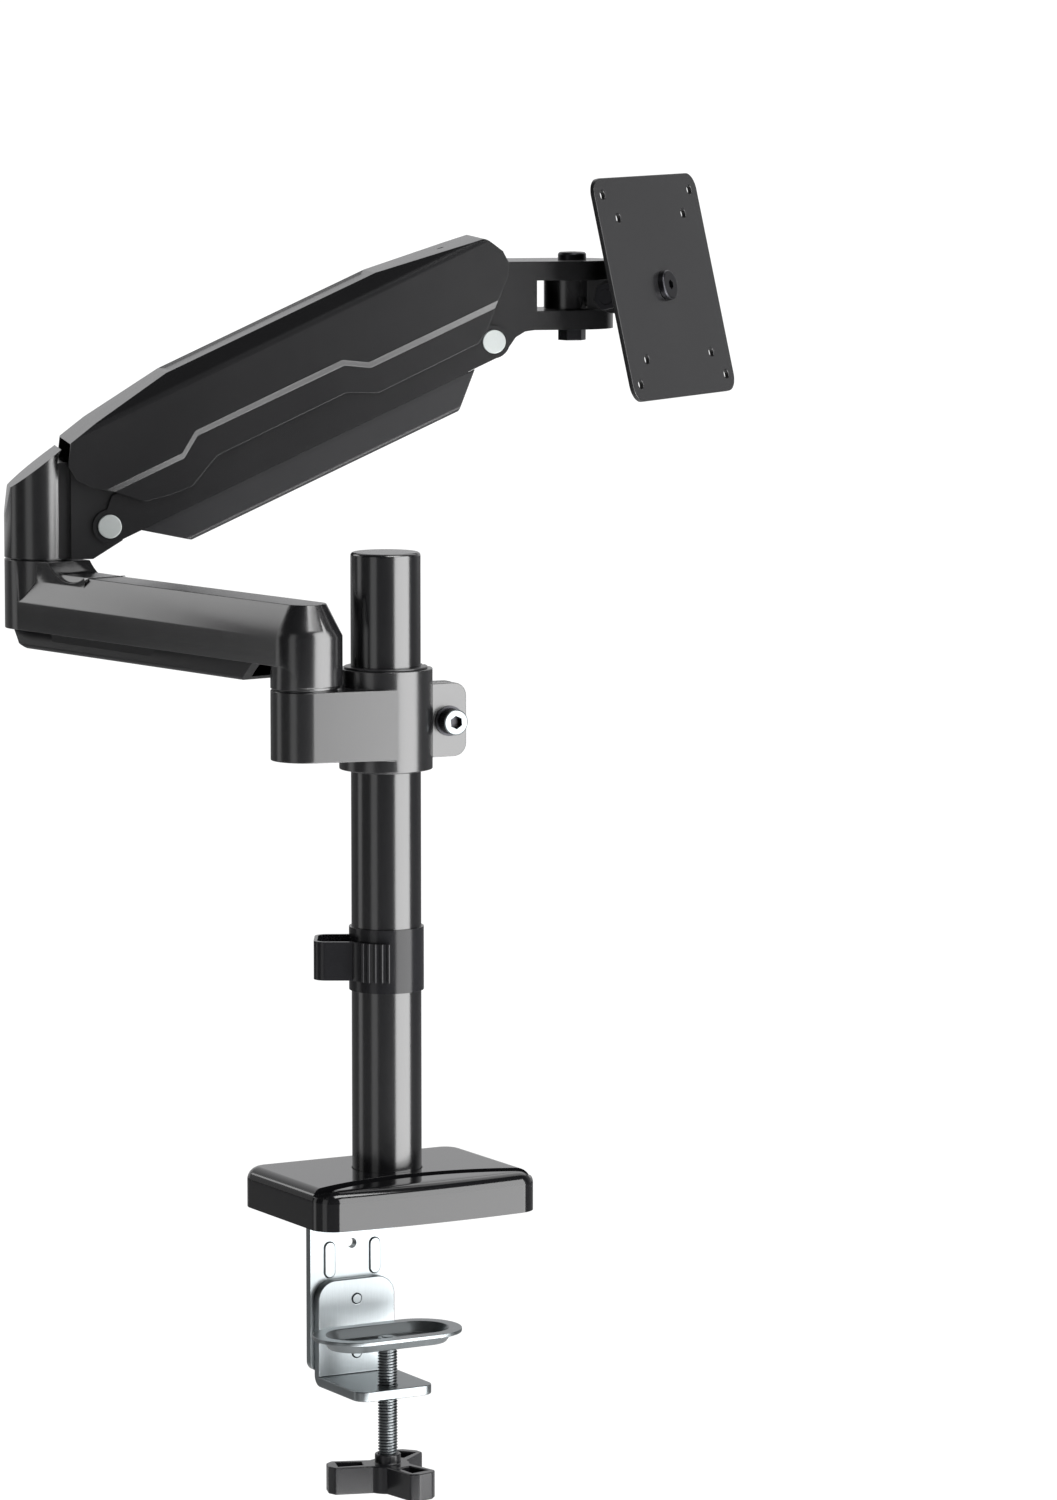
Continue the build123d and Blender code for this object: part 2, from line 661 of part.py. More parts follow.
COVER_OUTLINE = [
    (0, 48.5), (-6.4, 38), (-5.5, 30), (0, 23), (9.3, 16), (22.2, 4), (35.5, 1.5), (48, 0.7),
    (66.5, 9.5), (141.7, 9.8), (156.9, 2.4), (215.8, 3), (222.2, 6.7), (232.7, 16.8),
    (244.3, 28), (248.1, 34), (247.7, 41.4), (242.4, 51.4), (182.5, 59.3), (61.5, 59.3),
    (15.8, 52.2),
]
COVER_LINE = [(-20, 15.5), (50.2, 15.7), (61.5, 23.3), (146.9, 23.3), (158.9, 16.1), (270, 16.1)]
ROOF_HALF = 19.5
ROOF_EDGE = 51.5
ROOF_TOP = 59.5


def cover_section(inset):
    """The cover's chamfered cross-section, as a long bar."""
    half = COVER_HALF - inset
    flat = ROOF_HALF - inset * 0.6
    points = [(-half, -20), (half, -20), (half, ROOF_EDGE - inset * 0.5), (flat, ROOF_TOP - inset),
              (-flat, ROOF_TOP - inset), (-half, ROOF_EDGE - inset * 0.5)]
    face = Plane.YZ * make_face(Polyline(*points, close=True))
    return Pos(-50, 0, 0) * extrude(face, amount=350)


def upper_cover():
    """The pressed cover: folded roof edges and a stepped lower flange."""
    outer = side(COVER_OUTLINE, -COVER_HALF, COVER_HALF) & cover_section(0)
    below = COVER_LINE + [(270, -40), (-20, -40)]
    step = side(below, COVER_HALF - COVER_STEP, COVER_HALF + 5)
    outer -= both_sides(step)
    inside = [(-50, -30), (-50, 40.5), (15.8, 50.2), (61.5, 57.5), (182.5, 57.5), (242.4, 49.6),
              (300, 41), (300, -30)]
    hollow = side(inside, -inner_half(), inner_half())
    hollow &= cover_section(COVER_WALL)
    keep = Pos(0, 0, COVER_WALL) * side(below, COVER_HALF - COVER_STEP - COVER_WALL, COVER_HALF)
    hollow -= both_sides(keep)
    body = outer - hollow
    body -= disc(2, 45, 60, 222, 0)
    return on_link(body)


# ---- gas spring, in a frame with X from its front eye to its rear anchor ----
def on_spring(shape):
    """Front eye on the upper link, X towards the yoke's anchor."""
    eye_s = UPPER_S + SPRING_S
    eye_n = UPPER_N + SPRING_N
    run = Vector(ANCHOR_S - eye_s, 0, ANCHOR_N - eye_n)
    axes = Plane(origin=(eye_s, 0, eye_n), x_dir=run, z_dir=(0, -1, 0))
    return on_link(axes.location * Rot(90, 0, 0) * shape)


def spring_length():
    """From the front eye to the anchor at rest."""
    eye_s = UPPER_S + SPRING_S
    eye_n = UPPER_N + SPRING_N
    return Vector(ANCHOR_S - eye_s, 0, ANCHOR_N - eye_n).length


def along(radius, x0, x1):
    """A cylinder along X."""
    return Pos(x0, 0, 0) * Rot(0, 90, 0) * extrude(Circle(radius), amount=x1 - x0)


def gas_cylinder():
    body = along(SPRING_R, 14, 96) + along(4, 0, 14) + cross_rod(8, -5, 5, 0, 0)
    body = fillet(body.faces().filter_by(Axis.X).sort_by(Axis.X)[-1].edges(), 1.5)
    body -= along(SPRING_ROD_R + FIT, 30, 100)
    return on_spring(body - cross_rod(PIN_R + FIT, -10, 10, 0, 0))


def gas_rod():
    """The piston rod and its rear eye, which has room round the anchor."""
    length = spring_length()
    body = along(SPRING_ROD_R, 50, length - 6) + cross_rod(8.5, -4, 4, length, 0)
    return on_spring(body - cross_rod(6, -10, 10, length, 0))


# ---- head, in the upper arm's frame ----
def head_bracket():
    """The level bracket at the front pins, forked round the swivel barrel."""
    x1, z1 = head_pin()
    x2 = x1 + PIN_STEP_X
    z2 = z1 + PIN_STEP_Z
    body = side_hull([(x1, z1, 9), (x2, z2, 9.5)], -EAR_HALF, EAR_HALF)
    body += block(x1 - 4, SWIVEL_X, -EAR_HALF, EAR_HALF, HEAD_Z0, HEAD_Z1)
    body += disc(EAR_HALF, HEAD_Z0, HEAD_Z1, SWIVEL_X)
    body += side([(x1 - 5, z1 - 3), (x1 + 8.5, z1 - 3), (x1 + 12, z1 + 2), (x1 + 17, z1 + 5),
                  (x1 + 22, HEAD_Z0 + EPS), (x1 - 5, HEAD_Z0 + EPS)], -EAR_HALF, EAR_HALF)
    body -= block(WINDOW_X, 320, -40, 40, WINDOW_Z0, WINDOW_Z1)
    body -= block(x2 - 12, WINDOW_X - 8, -SLOT_HALF, SLOT_HALF, z1 - 12, z2 + 4)
    body -= cross_rod(PIN_R + FIT, -40, 40, x1, z1)
    body -= cross_rod(PIN_R + GAP, -40, 40, x2, z2)
    body -= disc(4 + FIT, 400, 500, SWIVEL_X)
    return on_elbow(body)


def swivel_bolt():
    """The upright bolt of the head's pan joint, with a low head."""
    middle = (WINDOW_Z0 + WINDOW_Z1) / 2
    bolt = disc(4, HEAD_Z0 - 6.5, HEAD_Z1, SWIVEL_X) + disc(7.5, HEAD_Z1, HEAD_Z1 + 4, SWIVEL_X)
    bolt = fillet(bolt.faces().sort_by(Axis.Z)[-1].edges(), 1.5)
    bolt -= Pos(SWIVEL_X, 0, HEAD_Z1 + 1.5) * extrude(RegularPolygon(2.8, 6), amount=4)
    return on_swivel(Rot(0, 0, -PAN_TURN) * Pos(-SWIVEL_X, 0, -middle) * bolt)


def swivel_nut():
    nut = hex_prism(13, HEAD_Z0 - 6.5, HEAD_Z0) - disc(4 + FIT, 400, 500)
    return on_elbow(Pos(SWIVEL_X, 0, 0) * nut)


def pan_knuckle():
    """The barrel in the fork's window, with the tilt barrel ahead of it."""
    half = (WINDOW_Z1 - WINDOW_Z0) / 2 - GAP
    body = disc(SWIVEL_R, -half, half) + block(0, TILT_REACH, -7.5, 7.5, -half, half)
    body += cross_rod(TILT_BARREL_R, -TILT_BARREL_HALF, TILT_BARREL_HALF, TILT_REACH, 0)
    body -= disc(4 + FIT, -20, 20)
    return on_swivel(body - cross_rod(4 + FIT, -30, 30, TILT_REACH, 0))


# ---- tilting plate, in its own frame: X out of the plate ----
def tilt_bracket():
    """The U bracket round the tilt barrel."""
    inner = TILT_BARREL_HALF + GAP
    outer = inner + 4
    ear = side_hull([(0, 0, 9), (12, 0, 9)], inner, outer)
    body = both_sides(ear) + block(13, 18, -23, 23, -23, 23)
    body = fillet(body.edges().filter_by(Axis.X).filter_by(lambda e: abs(e.center().Y) > 20), 5)
    body -= block(18, 40, -40, 40, -40, 40)
    body -= cross_rod(4 + FIT, -30, 30, 0, 0)
    return on_tilt(body - along(4, 10, 30))


def tilt_bolt():
    outer = TILT_BARREL_HALF + GAP + 4
    bolt = disc(4, -outer - 7, outer + GAP) + disc(6.5, outer + GAP, outer + 7.5)
    bolt = fillet(bolt.faces().sort_by(Axis.Z)[-1].edges(), 0.8)
    bolt -= Pos(0, 0, outer + 4) * extrude(RegularPolygon(2.8, 6), amount=6)
    return on_tilt(lay(bolt, 0, 0))


def tilt_nut():
    outer = TILT_BARREL_HALF + 2 * GAP + 4
    return on_tilt(lay(hex_prism(13, -outer - 6.5, -outer) - disc(4, -40, 40), 0, 0))


def turn_washer():
    """The friction washer between tilt bracket and mounting plate."""
    return on_tilt(along(20, 18, VESA_BACK - GAP) - along(4, 10, 30))


def turn_bolt():
    """The shouldered bolt on which the mounting plate turns."""
    front = VESA_BACK + VESA_THICK
    bolt = along(4, 9, front + 0.5) + along(8, front + GAP, front + 3.4)
    bolt = fillet(bolt.faces().sort_by(Axis.X)[-1].edges(), 1.2)
    bolt += Pos(9.2, 0, 0) * Rot(0, 90, 0) * extrude(RegularPolygon(6.5, 6), amount=3.7)
    socket = Pos(front + 1.4, 0, 0) * Rot(0, 90, 0) * extrude(RegularPolygon(2.6, 6), amount=4)
    return on_tilt(bolt - socket)


def vesa_plate():
    """The square plate that a screen's 75 or 100 mm pattern screws to."""
    plate = RectangleRounded(VESA_SIZE, VESA_SIZE, 9)
    for span in (75, 100):
        plate -= GridLocations(span, span, 2, 2) * Circle(VESA_HOLE_R)
    plate -= Circle(4 + FIT)
    body = Pos(VESA_BACK, 0, 0) * Rot(0, 90, 0) * extrude(plate, amount=VESA_THICK)
    return on_tilt(body)


# ---- write every sub-part ----
def sub_parts():
    at_shoulder = Rot(0, 0, CLAMP_TURN) * Pos(SHOULDER_REACH, 0, 0)
    parts = {
        "base_cover": base_cover(),
        "desk_pad": desk_pad(),
        "base_plate": base_plate(),
        "clamp_upright": clamp_upright(),
        "clamp_jaw": clamp_jaw(),
        "pole": pole(),
        "pole_foot": pole_foot(),
        "pole_bolt": pole_bolt(),
        "pole_cap": pole_cap(),
        "press_plate": press_plate(),
        "clamp_rod": clamp_rod(),
        "press_rivet": press_rivet(),
        "clamp_knob": clamp_knob(),
        "cable_clip": cable_clip(),
        "pole_liner": pole_liner(),
        "pole_clamp": pole_clamp(),
        "clamp_bolt": clamp_bolt(),
        "clamp_nut": clamp_nut(),
        "shoulder_bushing": at_shoulder * bushing(SHOULDER_RECESS, CLAMP_TOP),
        "lower_arm": lower_arm(),
        "lower_cable_cover": lower_cable_cover(),
        "shoulder_shaft": shoulder_shaft(),
        "shoulder_washer": on_shoulder(joint_washer(SHOULDER_RECESS - GAP)),
        "shoulder_nut": on_shoulder(joint_nut(SHOULDER_RECESS - GAP - 2)),
        "elbow_bushing": on_shoulder(Pos(LOWER_LENGTH, 0, 0) * bushing(ELBOW_RECESS, ELBOW_SEAM)),
        "elbow_yoke": elbow_yoke(),
        "yoke_screw": yoke_screw(),
        "elbow_shaft": elbow_shaft(),
        "elbow_washer": on_elbow(joint_washer(ELBOW_RECESS - GAP)),
        "elbow_nut": on_elbow(joint_nut(ELBOW_RECESS - GAP - 2)),
        "spring_anchor": spring_anchor(),
        "lower_link": lower_link(),
        "rear_lower_pin": lower_pin(0),
        "front_lower_pin": lower_pin(LINK_LENGTH),
        "link_cable_cover": link_cable_cover(),
        "upper_link": upper_link(),
        "rear_upper_pin_near": rear_upper_pin(-1),
        "rear_upper_pin_far": rear_upper_pin(1),
        "front_upper_pin": front_upper_pin(),
        "spring_pin": spring_pin(),
        "upper_cover": upper_cover(),
        "gas_cylinder": gas_cylinder(),
        "gas_rod": gas_rod(),
        "head_bracket": head_bracket(),
        "swivel_bolt": swivel_bolt(),
        "swivel_nut": swivel_nut(),
        "pan_knuckle": pan_knuckle(),
        "tilt_bracket": tilt_bracket(),
        "tilt_bolt": tilt_bolt(),
        "tilt_nut": tilt_nut(),
        "turn_washer": turn_washer(),
        "turn_bolt": turn_bolt(),
        "vesa_plate": vesa_plate(),
    }
    for number, (x, y) in enumerate(PLATE_SCREWS, 1):
        parts[f"plate_screw_{number}"] = plate_screw(x, y)
    for number, z in enumerate(HOLE_ROWS[1:], 1):
        parts[f"jaw_screw_{number}"] = jaw_screw(z)
    return parts


os.makedirs("parts", exist_ok=True)
for name, shape in sub_parts().items():
    export_step(shape, f"parts/{name}.step")
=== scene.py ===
# %% [markdown]
# # A monitor arm for a desk
# The arm stands on a desk clamp: a glossy base, a 35 mm pole, a cast collar pinched on the pole,
# a lower arm that swings flat, and a sprung upper arm that lifts the screen plate.
# Every measured part comes ready from the frame.  This lesson dresses those parts: it rounds their
# edges, models what the plain solids leave out, and gives each finish its own shader.

import json
import math

import bpy
from mathutils import Matrix, Vector


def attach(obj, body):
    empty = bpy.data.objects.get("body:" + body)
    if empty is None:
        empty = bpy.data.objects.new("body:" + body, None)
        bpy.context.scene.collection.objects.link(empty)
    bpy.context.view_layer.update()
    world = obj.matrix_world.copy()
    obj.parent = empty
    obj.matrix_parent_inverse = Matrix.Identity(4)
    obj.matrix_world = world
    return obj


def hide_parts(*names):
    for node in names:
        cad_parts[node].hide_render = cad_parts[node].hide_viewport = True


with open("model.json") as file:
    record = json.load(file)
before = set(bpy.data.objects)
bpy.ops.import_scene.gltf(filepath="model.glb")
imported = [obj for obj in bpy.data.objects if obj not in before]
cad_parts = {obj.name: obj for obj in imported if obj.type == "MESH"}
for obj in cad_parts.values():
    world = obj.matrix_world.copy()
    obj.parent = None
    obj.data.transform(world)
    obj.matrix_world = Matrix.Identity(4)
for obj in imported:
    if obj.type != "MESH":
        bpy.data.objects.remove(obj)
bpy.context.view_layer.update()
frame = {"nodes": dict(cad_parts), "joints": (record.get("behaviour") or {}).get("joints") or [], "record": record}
nodes = frame["nodes"]
bodies_of = {n: b for b, names in frame["record"]["behaviour"]["bodies"].items() for n in names}
joints = {j["name"]: j for j in frame["joints"]}
slots_of = {s["node"]: s["material_slot"] for s in frame["record"]["subparts"]}
MM = 0.001

# %% [markdown]
# ## The camera
# A long lens from three metres keeps upright edges upright, as a catalogue picture does.  The camera
# stands a little higher than the clamp and looks down by a few degrees, turned so that the base
# shows its front and its left side.

# %% Set the camera
CAMERA_TURN = math.radians(29.5)
CAMERA_DROP = math.radians(6.85)
CAMERA_DISTANCE = 3.2
CAMERA_HEIGHT = 0.617
CAMERA_SIDE = 0.0713
LENS = 154.7

right = Vector((math.cos(CAMERA_TURN), -math.sin(CAMERA_TURN), 0))
ahead = Vector((math.sin(CAMERA_TURN), math.cos(CAMERA_TURN), 0))
camera_data = bpy.data.cameras.new("camera")
camera_data.lens = LENS
camera = bpy.data.objects.new("camera", camera_data)
camera.location = CAMERA_SIDE * right - CAMERA_DISTANCE * ahead + Vector((0, 0, CAMERA_HEIGHT))
camera.rotation_euler = (math.pi / 2 - CAMERA_DROP, 0, -CAMERA_TURN)
bpy.context.scene.collection.objects.link(camera)
bpy.context.scene.camera = camera
bpy.context.scene.view_settings.view_transform = "Standard"
print("camera at", [round(v, 3) for v in camera.location])

# %% [markdown]
# ## Light
# Gloss black shows only what it mirrors.  One wide soft box stands to the right and gives the long
# bright bands on the pole and the base.  Two weaker panels on the left draw the thin grey bands,
# and a pale backdrop behind the arm shows in the flat top of the base.  Three small boxes reach
# what leans: low right for the pressed step, high left for the slope of the lower arm, and high
# right for the fold under the roof.

# %% Add the soft boxes
FOCUS = Vector((0, 0.1, 0.25))


def soft_box(name, turn, distance, width, height, power, lift=0.0):
    """A rectangular light, turned right of the camera's own direction, facing the arm."""
    data = bpy.data.lights.new(name, "AREA")
    data.shape = "RECTANGLE"
    data.size = width
    data.size_y = height
    data.energy = power
    angle = math.radians(turn)
    away = -ahead * math.cos(angle) + right * math.sin(angle)
    light = bpy.data.objects.new(name, data)
    light.location = FOCUS + away * distance + Vector((0, 0, lift))
    light.rotation_euler = (FOCUS - light.location).to_track_quat("-Z", "Y").to_euler()
    bpy.context.scene.collection.objects.link(light)
    return light


soft_box("key_box", 57, 2.2, 2.15, 3.0, 128, -0.05)
soft_box("left_panel", -37, 2.6, 0.95, 2.4, 5, 0.0)
soft_box("far_left_panel", -93, 2.4, 0.75, 2.4, 4.5, 0.0)
soft_box("top_box", 150, 1.7, 1.8, 1.8, 14, 1.9)
soft_box("low_box", 38, 1.0, 1.3, 0.5, 34, -0.92)
soft_box("high_left_box", -118, 2.2, 1.1, 0.9, 7, 1.05)
soft_box("high_right_box", 40, 1.2, 1.3, 0.7, 26, 1.7)

# %% [markdown]
# ## World and floor
# The room is dim all round but bright behind the arm.  The floor lies a desk's height below the
# clamp, so that the low edge of the key box still shows in the base.  Floor and air look white to
# the camera only, so that the gloss still mirrors a dark room.

# %% Build the world
world = bpy.data.worlds.new("studio")
bpy.context.scene.world = world
world.use_nodes = True
wn = world.node_tree.nodes
wl = world.node_tree.links
wn.clear()
world_out = wn.new("ShaderNodeOutputWorld")
room = wn.new("ShaderNodeBackground")
air = wn.new("ShaderNodeBackground")
air.inputs["Color"].default_value = (1, 1, 1, 1)
air.inputs["Strength"].default_value = 1.1
room.inputs["Strength"].default_value = 1.0
pick = wn.new("ShaderNodeMixShader")
path = wn.new("ShaderNodeLightPath")
way = wn.new("ShaderNodeTexCoord")
behind = wn.new("ShaderNodeVectorMath")
behind.operation = "DOT_PRODUCT"
behind.inputs[1].default_value = ahead
ramp = wn.new("ShaderNodeValToRGB")
ramp.color_ramp.elements[0].position = 0.30
ramp.color_ramp.elements[0].color = (0.045, 0.045, 0.047, 1)
ramp.color_ramp.elements[1].position = 0.80
ramp.color_ramp.elements[1].color = (0.75, 0.75, 0.76, 1)
wl.new(way.outputs["Generated"], behind.inputs[0])
wl.new(behind.outputs["Value"], ramp.inputs["Fac"])
wl.new(ramp.outputs["Color"], room.inputs["Color"])
wl.new(path.outputs["Is Camera Ray"], pick.inputs["Fac"])
wl.new(room.outputs["Background"], pick.inputs[1])
wl.new(air.outputs["Background"], pick.inputs[2])
wl.new(pick.outputs["Shader"], world_out.inputs["Surface"])

floor_mesh = bpy.data.meshes.new("floor")
FLOOR_Z = -0.72
FLOOR_HALF = 12
floor_mesh.from_pydata(
    [(-FLOOR_HALF, -FLOOR_HALF, FLOOR_Z), (FLOOR_HALF, -FLOOR_HALF, FLOOR_Z),
     (FLOOR_HALF, FLOOR_HALF, FLOOR_Z), (-FLOOR_HALF, FLOOR_HALF, FLOOR_Z)], [], [(0, 1, 2, 3)])
floor = bpy.data.objects.new("floor", floor_mesh)
bpy.context.scene.collection.objects.link(floor)
print("floor at", round(FLOOR_Z, 4))

# %% [markdown]
# The floor is a matt white that glows to the camera only.  A plain white floor would go grey where
# the light falls off, and the glow keeps it even with the air behind.

# %% Give the floor its white
floor_look = bpy.data.materials.new("pale_floor")
floor_look.use_nodes = True
fn = floor_look.node_tree.nodes
fl = floor_look.node_tree.links
fn.clear()
floor_out = fn.new("ShaderNodeOutputMaterial")
matt = fn.new("ShaderNodeBsdfDiffuse")
matt.inputs["Color"].default_value = (0.8, 0.8, 0.8, 1)
glow = fn.new("ShaderNodeEmission")
glow.inputs["Strength"].default_value = 1.12
floor_pick = fn.new("ShaderNodeMixShader")
floor_path = fn.new("ShaderNodeLightPath")
seen = fn.new("ShaderNodeMath")
seen.operation = "MULTIPLY"
seen.inputs[1].default_value = 0.94
fl.new(floor_path.outputs["Is Camera Ray"], seen.inputs[0])
fl.new(seen.outputs["Value"], floor_pick.inputs["Fac"])
fl.new(matt.outputs["BSDF"], floor_pick.inputs[1])
fl.new(glow.outputs["Emission"], floor_pick.inputs[2])
fl.new(floor_pick.outputs["Shader"], floor_out.inputs["Surface"])
floor_mesh.materials.append(floor_look)
print("floor look:", floor_look.name)

# %% [markdown]
# ## Finishes
# No factory finish is one flat colour.  Powder coat has a fine orange peel, moulded plastic has a
# softer grain and faint flow marks, zinc plate keeps the lines of the rolled sheet, and everything
# that hands have touched shines unevenly.  Each such effect is a node group with its own inputs,
# so that every material can use it at its own scale.

# %% A helper for node groups
def start_group(name, inputs, outputs):
    """An empty shader group with float inputs and named outputs."""
    group = bpy.data.node_groups.new(name, "ShaderNodeTree")
    for label, value in inputs:
        socket = group.interface.new_socket(label, in_out="INPUT", socket_type="NodeSocketFloat")
        socket.default_value = value
    for label, kind in outputs:
        group.interface.new_socket(label, in_out="OUTPUT", socket_type=kind)
    return group, group.nodes.new("NodeGroupInput"), group.nodes.new("NodeGroupOutput")


def noise(tree, vector, scale, detail=2.0):
    """A noise texture on the given vector; scale is a number or a socket."""
    node = tree.nodes.new("ShaderNodeTexNoise")
    node.inputs["Detail"].default_value = detail
    tree.links.new(vector, node.inputs["Vector"])
    if isinstance(scale, (int, float)):
        node.inputs["Scale"].default_value = scale
    else:
        tree.links.new(scale, node.inputs["Scale"])
    return node.outputs["Fac"]


def arithmetic(tree, operation, a, b, c=None):
    """A math node on sockets or numbers."""
    node = tree.nodes.new("ShaderNodeMath")
    node.operation = operation
    for socket, value in zip(node.inputs, (a, b, c)):
        if value is None:
            continue
        if isinstance(value, (int, float)):
            socket.default_value = value
        else:
            tree.links.new(value, socket)
    return node.outputs["Value"]


# %% [markdown]
# **Orange peel** is the low, rounded ripple of a sprayed and baked coat.  Two noises, one fine and
# one coarse, feed a bump, so that what the coat mirrors wavers a little.

# %% Build the orange peel group
peel, peel_in, peel_out = start_group(
    "orange_peel", [("Scale", 900.0), ("Height", 0.4), ("Fine", 2600.0)],
    [("Normal", "NodeSocketVector")])
peel_place = peel.nodes.new("ShaderNodeTexCoord")
coarse = noise(peel, peel_place.outputs["Object"], peel_in.outputs["Scale"], 1.5)
fine = noise(peel, peel_place.outputs["Object"], peel_in.outputs["Fine"], 2.0)
height = arithmetic(peel, "MULTIPLY_ADD", fine, 0.35, coarse)
peel_bump = peel.nodes.new("ShaderNodeBump")
peel_bump.inputs["Distance"].default_value = 0.00005
peel.links.new(height, peel_bump.inputs["Height"])
peel.links.new(peel_in.outputs["Height"], peel_bump.inputs["Strength"])
peel.links.new(peel_bump.outputs["Normal"], peel_out.inputs["Normal"])
print("group:", peel.name)

# %% [markdown]
# **Handling** is what fingers leave: wide, soft patches where the shine is a little duller, with a
# few finer smears inside them.

# %% Build the handling group
handling, handling_in, handling_out = start_group(
    "handling", [("Base", 0.3), ("Spread", 0.06), ("Size", 14.0)],
    [("Roughness", "NodeSocketFloat"), ("Patches", "NodeSocketFloat")])
handling_place = handling.nodes.new("ShaderNodeTexCoord")
patches = noise(handling, handling_place.outputs["Object"], handling_in.outputs["Size"], 3.0)
smear_scale = arithmetic(handling, "MULTIPLY", handling_in.outputs["Size"], 7.0)
smears = noise(handling, handling_place.outputs["Object"], smear_scale, 4.0)
mixed = arithmetic(handling, "MULTIPLY_ADD", smears, 0.5, patches)
centred = arithmetic(handling, "SUBTRACT", mixed, 0.75)
handled = arithmetic(handling, "MULTIPLY_ADD", centred, handling_in.outputs["Spread"],
                     handling_in.outputs["Base"])
handling.links.new(handled, handling_out.inputs["Roughness"])
handling.links.new(patches, handling_out.inputs["Patches"])
print("group:", handling.name)

# %% [markdown]
# **Rolled lines** run along bare or plated steel.  Noise that is finer across than along gives long
# thin streaks: about forty times longer than wide on the plate, and shorter on pins, screws and
# shafts.  They move the tone and the bump.

# %% Build the rolled lines group
rolled, rolled_in, rolled_out = start_group(
    "rolled_lines", [("Scale", 9000.0), ("Along", 120.0), ("Height", 0.25)],
    [("Normal", "NodeSocketVector"), ("Lines", "NodeSocketFloat")])
rolled_place = rolled.nodes.new("ShaderNodeTexCoord")
stretch = rolled.nodes.new("ShaderNodeVectorMath")
stretch.operation = "MULTIPLY"
axes = rolled.nodes.new("ShaderNodeCombineXYZ")
rolled.links.new(rolled_in.outputs["Scale"], axes.inputs["X"])
rolled.links.new(rolled_in.outputs["Scale"], axes.inputs["Y"])
rolled.links.new(rolled_in.outputs["Along"], axes.inputs["Z"])
rolled.links.new(rolled_place.outputs["Object"], stretch.inputs[0])
rolled.links.new(axes.outputs["Vector"], stretch.inputs[1])
lines = noise(rolled, stretch.outputs["Vector"], 1.0, 2.0)
rolled_bump = rolled.nodes.new("ShaderNodeBump")
rolled_bump.inputs["Distance"].default_value = 0.00003
rolled.links.new(lines, rolled_bump.inputs["Height"])
rolled.links.new(rolled_in.outputs["Height"], rolled_bump.inputs["Strength"])
rolled.links.new(rolled_bump.outputs["Normal"], rolled_out.inputs["Normal"])
rolled.links.new(lines, rolled_out.inputs["Lines"])
print("group:", rolled.name)


# %% [markdown]
# Two recipes cover nearly every part.  A **coated** finish is a black skin with peel and handling;
# a **plated** one is metal with rolled lines and handling.  Each finish is then one line of values.

# %% A helper for materials
def start_material(name):
    """A material with its Principled shader, ready for links."""
    material = bpy.data.materials.new(name)
    material.use_nodes = True
    return material, material.node_tree, material.node_tree.nodes["Principled BSDF"]


def place_group(tree, group, **values):
    """Put a shader group in a material with its own values."""
    node = tree.nodes.new("ShaderNodeGroup")
    node.node_tree = group
    for label, value in values.items():
        node.inputs[label].default_value = value
    return node


def tint(tree, mask, dark, light):
    """A colour that runs from dark to light by a mask."""
    mix = tree.nodes.new("ShaderNodeMix")
    mix.data_type = "RGBA"
    mix.inputs[6].default_value = (*dark, 1)
    mix.inputs[7].default_value = (*light, 1)
    tree.links.new(mask, mix.inputs[0])
    return mix.outputs[2]


def coated(name, dark, light, base, spread, peel_scale, peel_height, size=14.0, index=1.8):
    """A sprayed or moulded black: peel in the normal, handling in the shine, a slight shift of tone."""
    material, tree, shader = start_material(name)
    skin = place_group(tree, peel, Scale=peel_scale, Height=peel_height, Fine=peel_scale * 3)
    touch = place_group(tree, handling, Base=base, Spread=spread, Size=size)
    tree.links.new(skin.outputs["Normal"], shader.inputs["Normal"])
    tree.links.new(touch.outputs["Roughness"], shader.inputs["Roughness"])
    tree.links.new(tint(tree, touch.outputs["Patches"], dark, light), shader.inputs["Base Color"])
    shader.inputs["IOR"].default_value = index
    return material


def plated(name, dark, light, base, spread, along=120.0, height=0.25):
    """Bright plated steel with rolled lines and uneven shine."""
    material, tree, shader = start_material(name)
    sheet = place_group(tree, rolled, Scale=5200.0, Along=along, Height=height)
    touch = place_group(tree, handling, Base=base, Spread=spread, Size=22.0)
    tree.links.new(sheet.outputs["Normal"], shader.inputs["Normal"])
    tree.links.new(touch.outputs["Roughness"], shader.inputs["Roughness"])
    tree.links.new(tint(tree, sheet.outputs["Lines"], dark, light), shader.inputs["Base Color"])
    shader.inputs["Metallic"].default_value = 1.0
    return material


# %% [markdown]
# ## The black finishes
# Seven finishes are black and still differ: the base is nearly a mirror, the tubes and castings are
# glossy, the pressed cover of the upper arm is satin, the snap-on troughs are matt, and moulded
# parts and bearings lie between.  A lower index makes a coat mirror less.

# %% Mix the blacks
DEEP_BLACK = ((0.003, 0.003, 0.0035), (0.005, 0.005, 0.0055))
CAST_BLACK = ((0.004, 0.004, 0.0045), (0.007, 0.007, 0.0075))
SATIN_BLACK = ((0.007, 0.007, 0.0075), (0.010, 0.010, 0.0105))
TROUGH_BLACK = ((0.005, 0.005, 0.006), (0.008, 0.008, 0.009))
MOULDED_BLACK = ((0.006, 0.006, 0.007), (0.010, 0.010, 0.011))
BEARING_BLACK = ((0.010, 0.010, 0.011), (0.015, 0.015, 0.016))

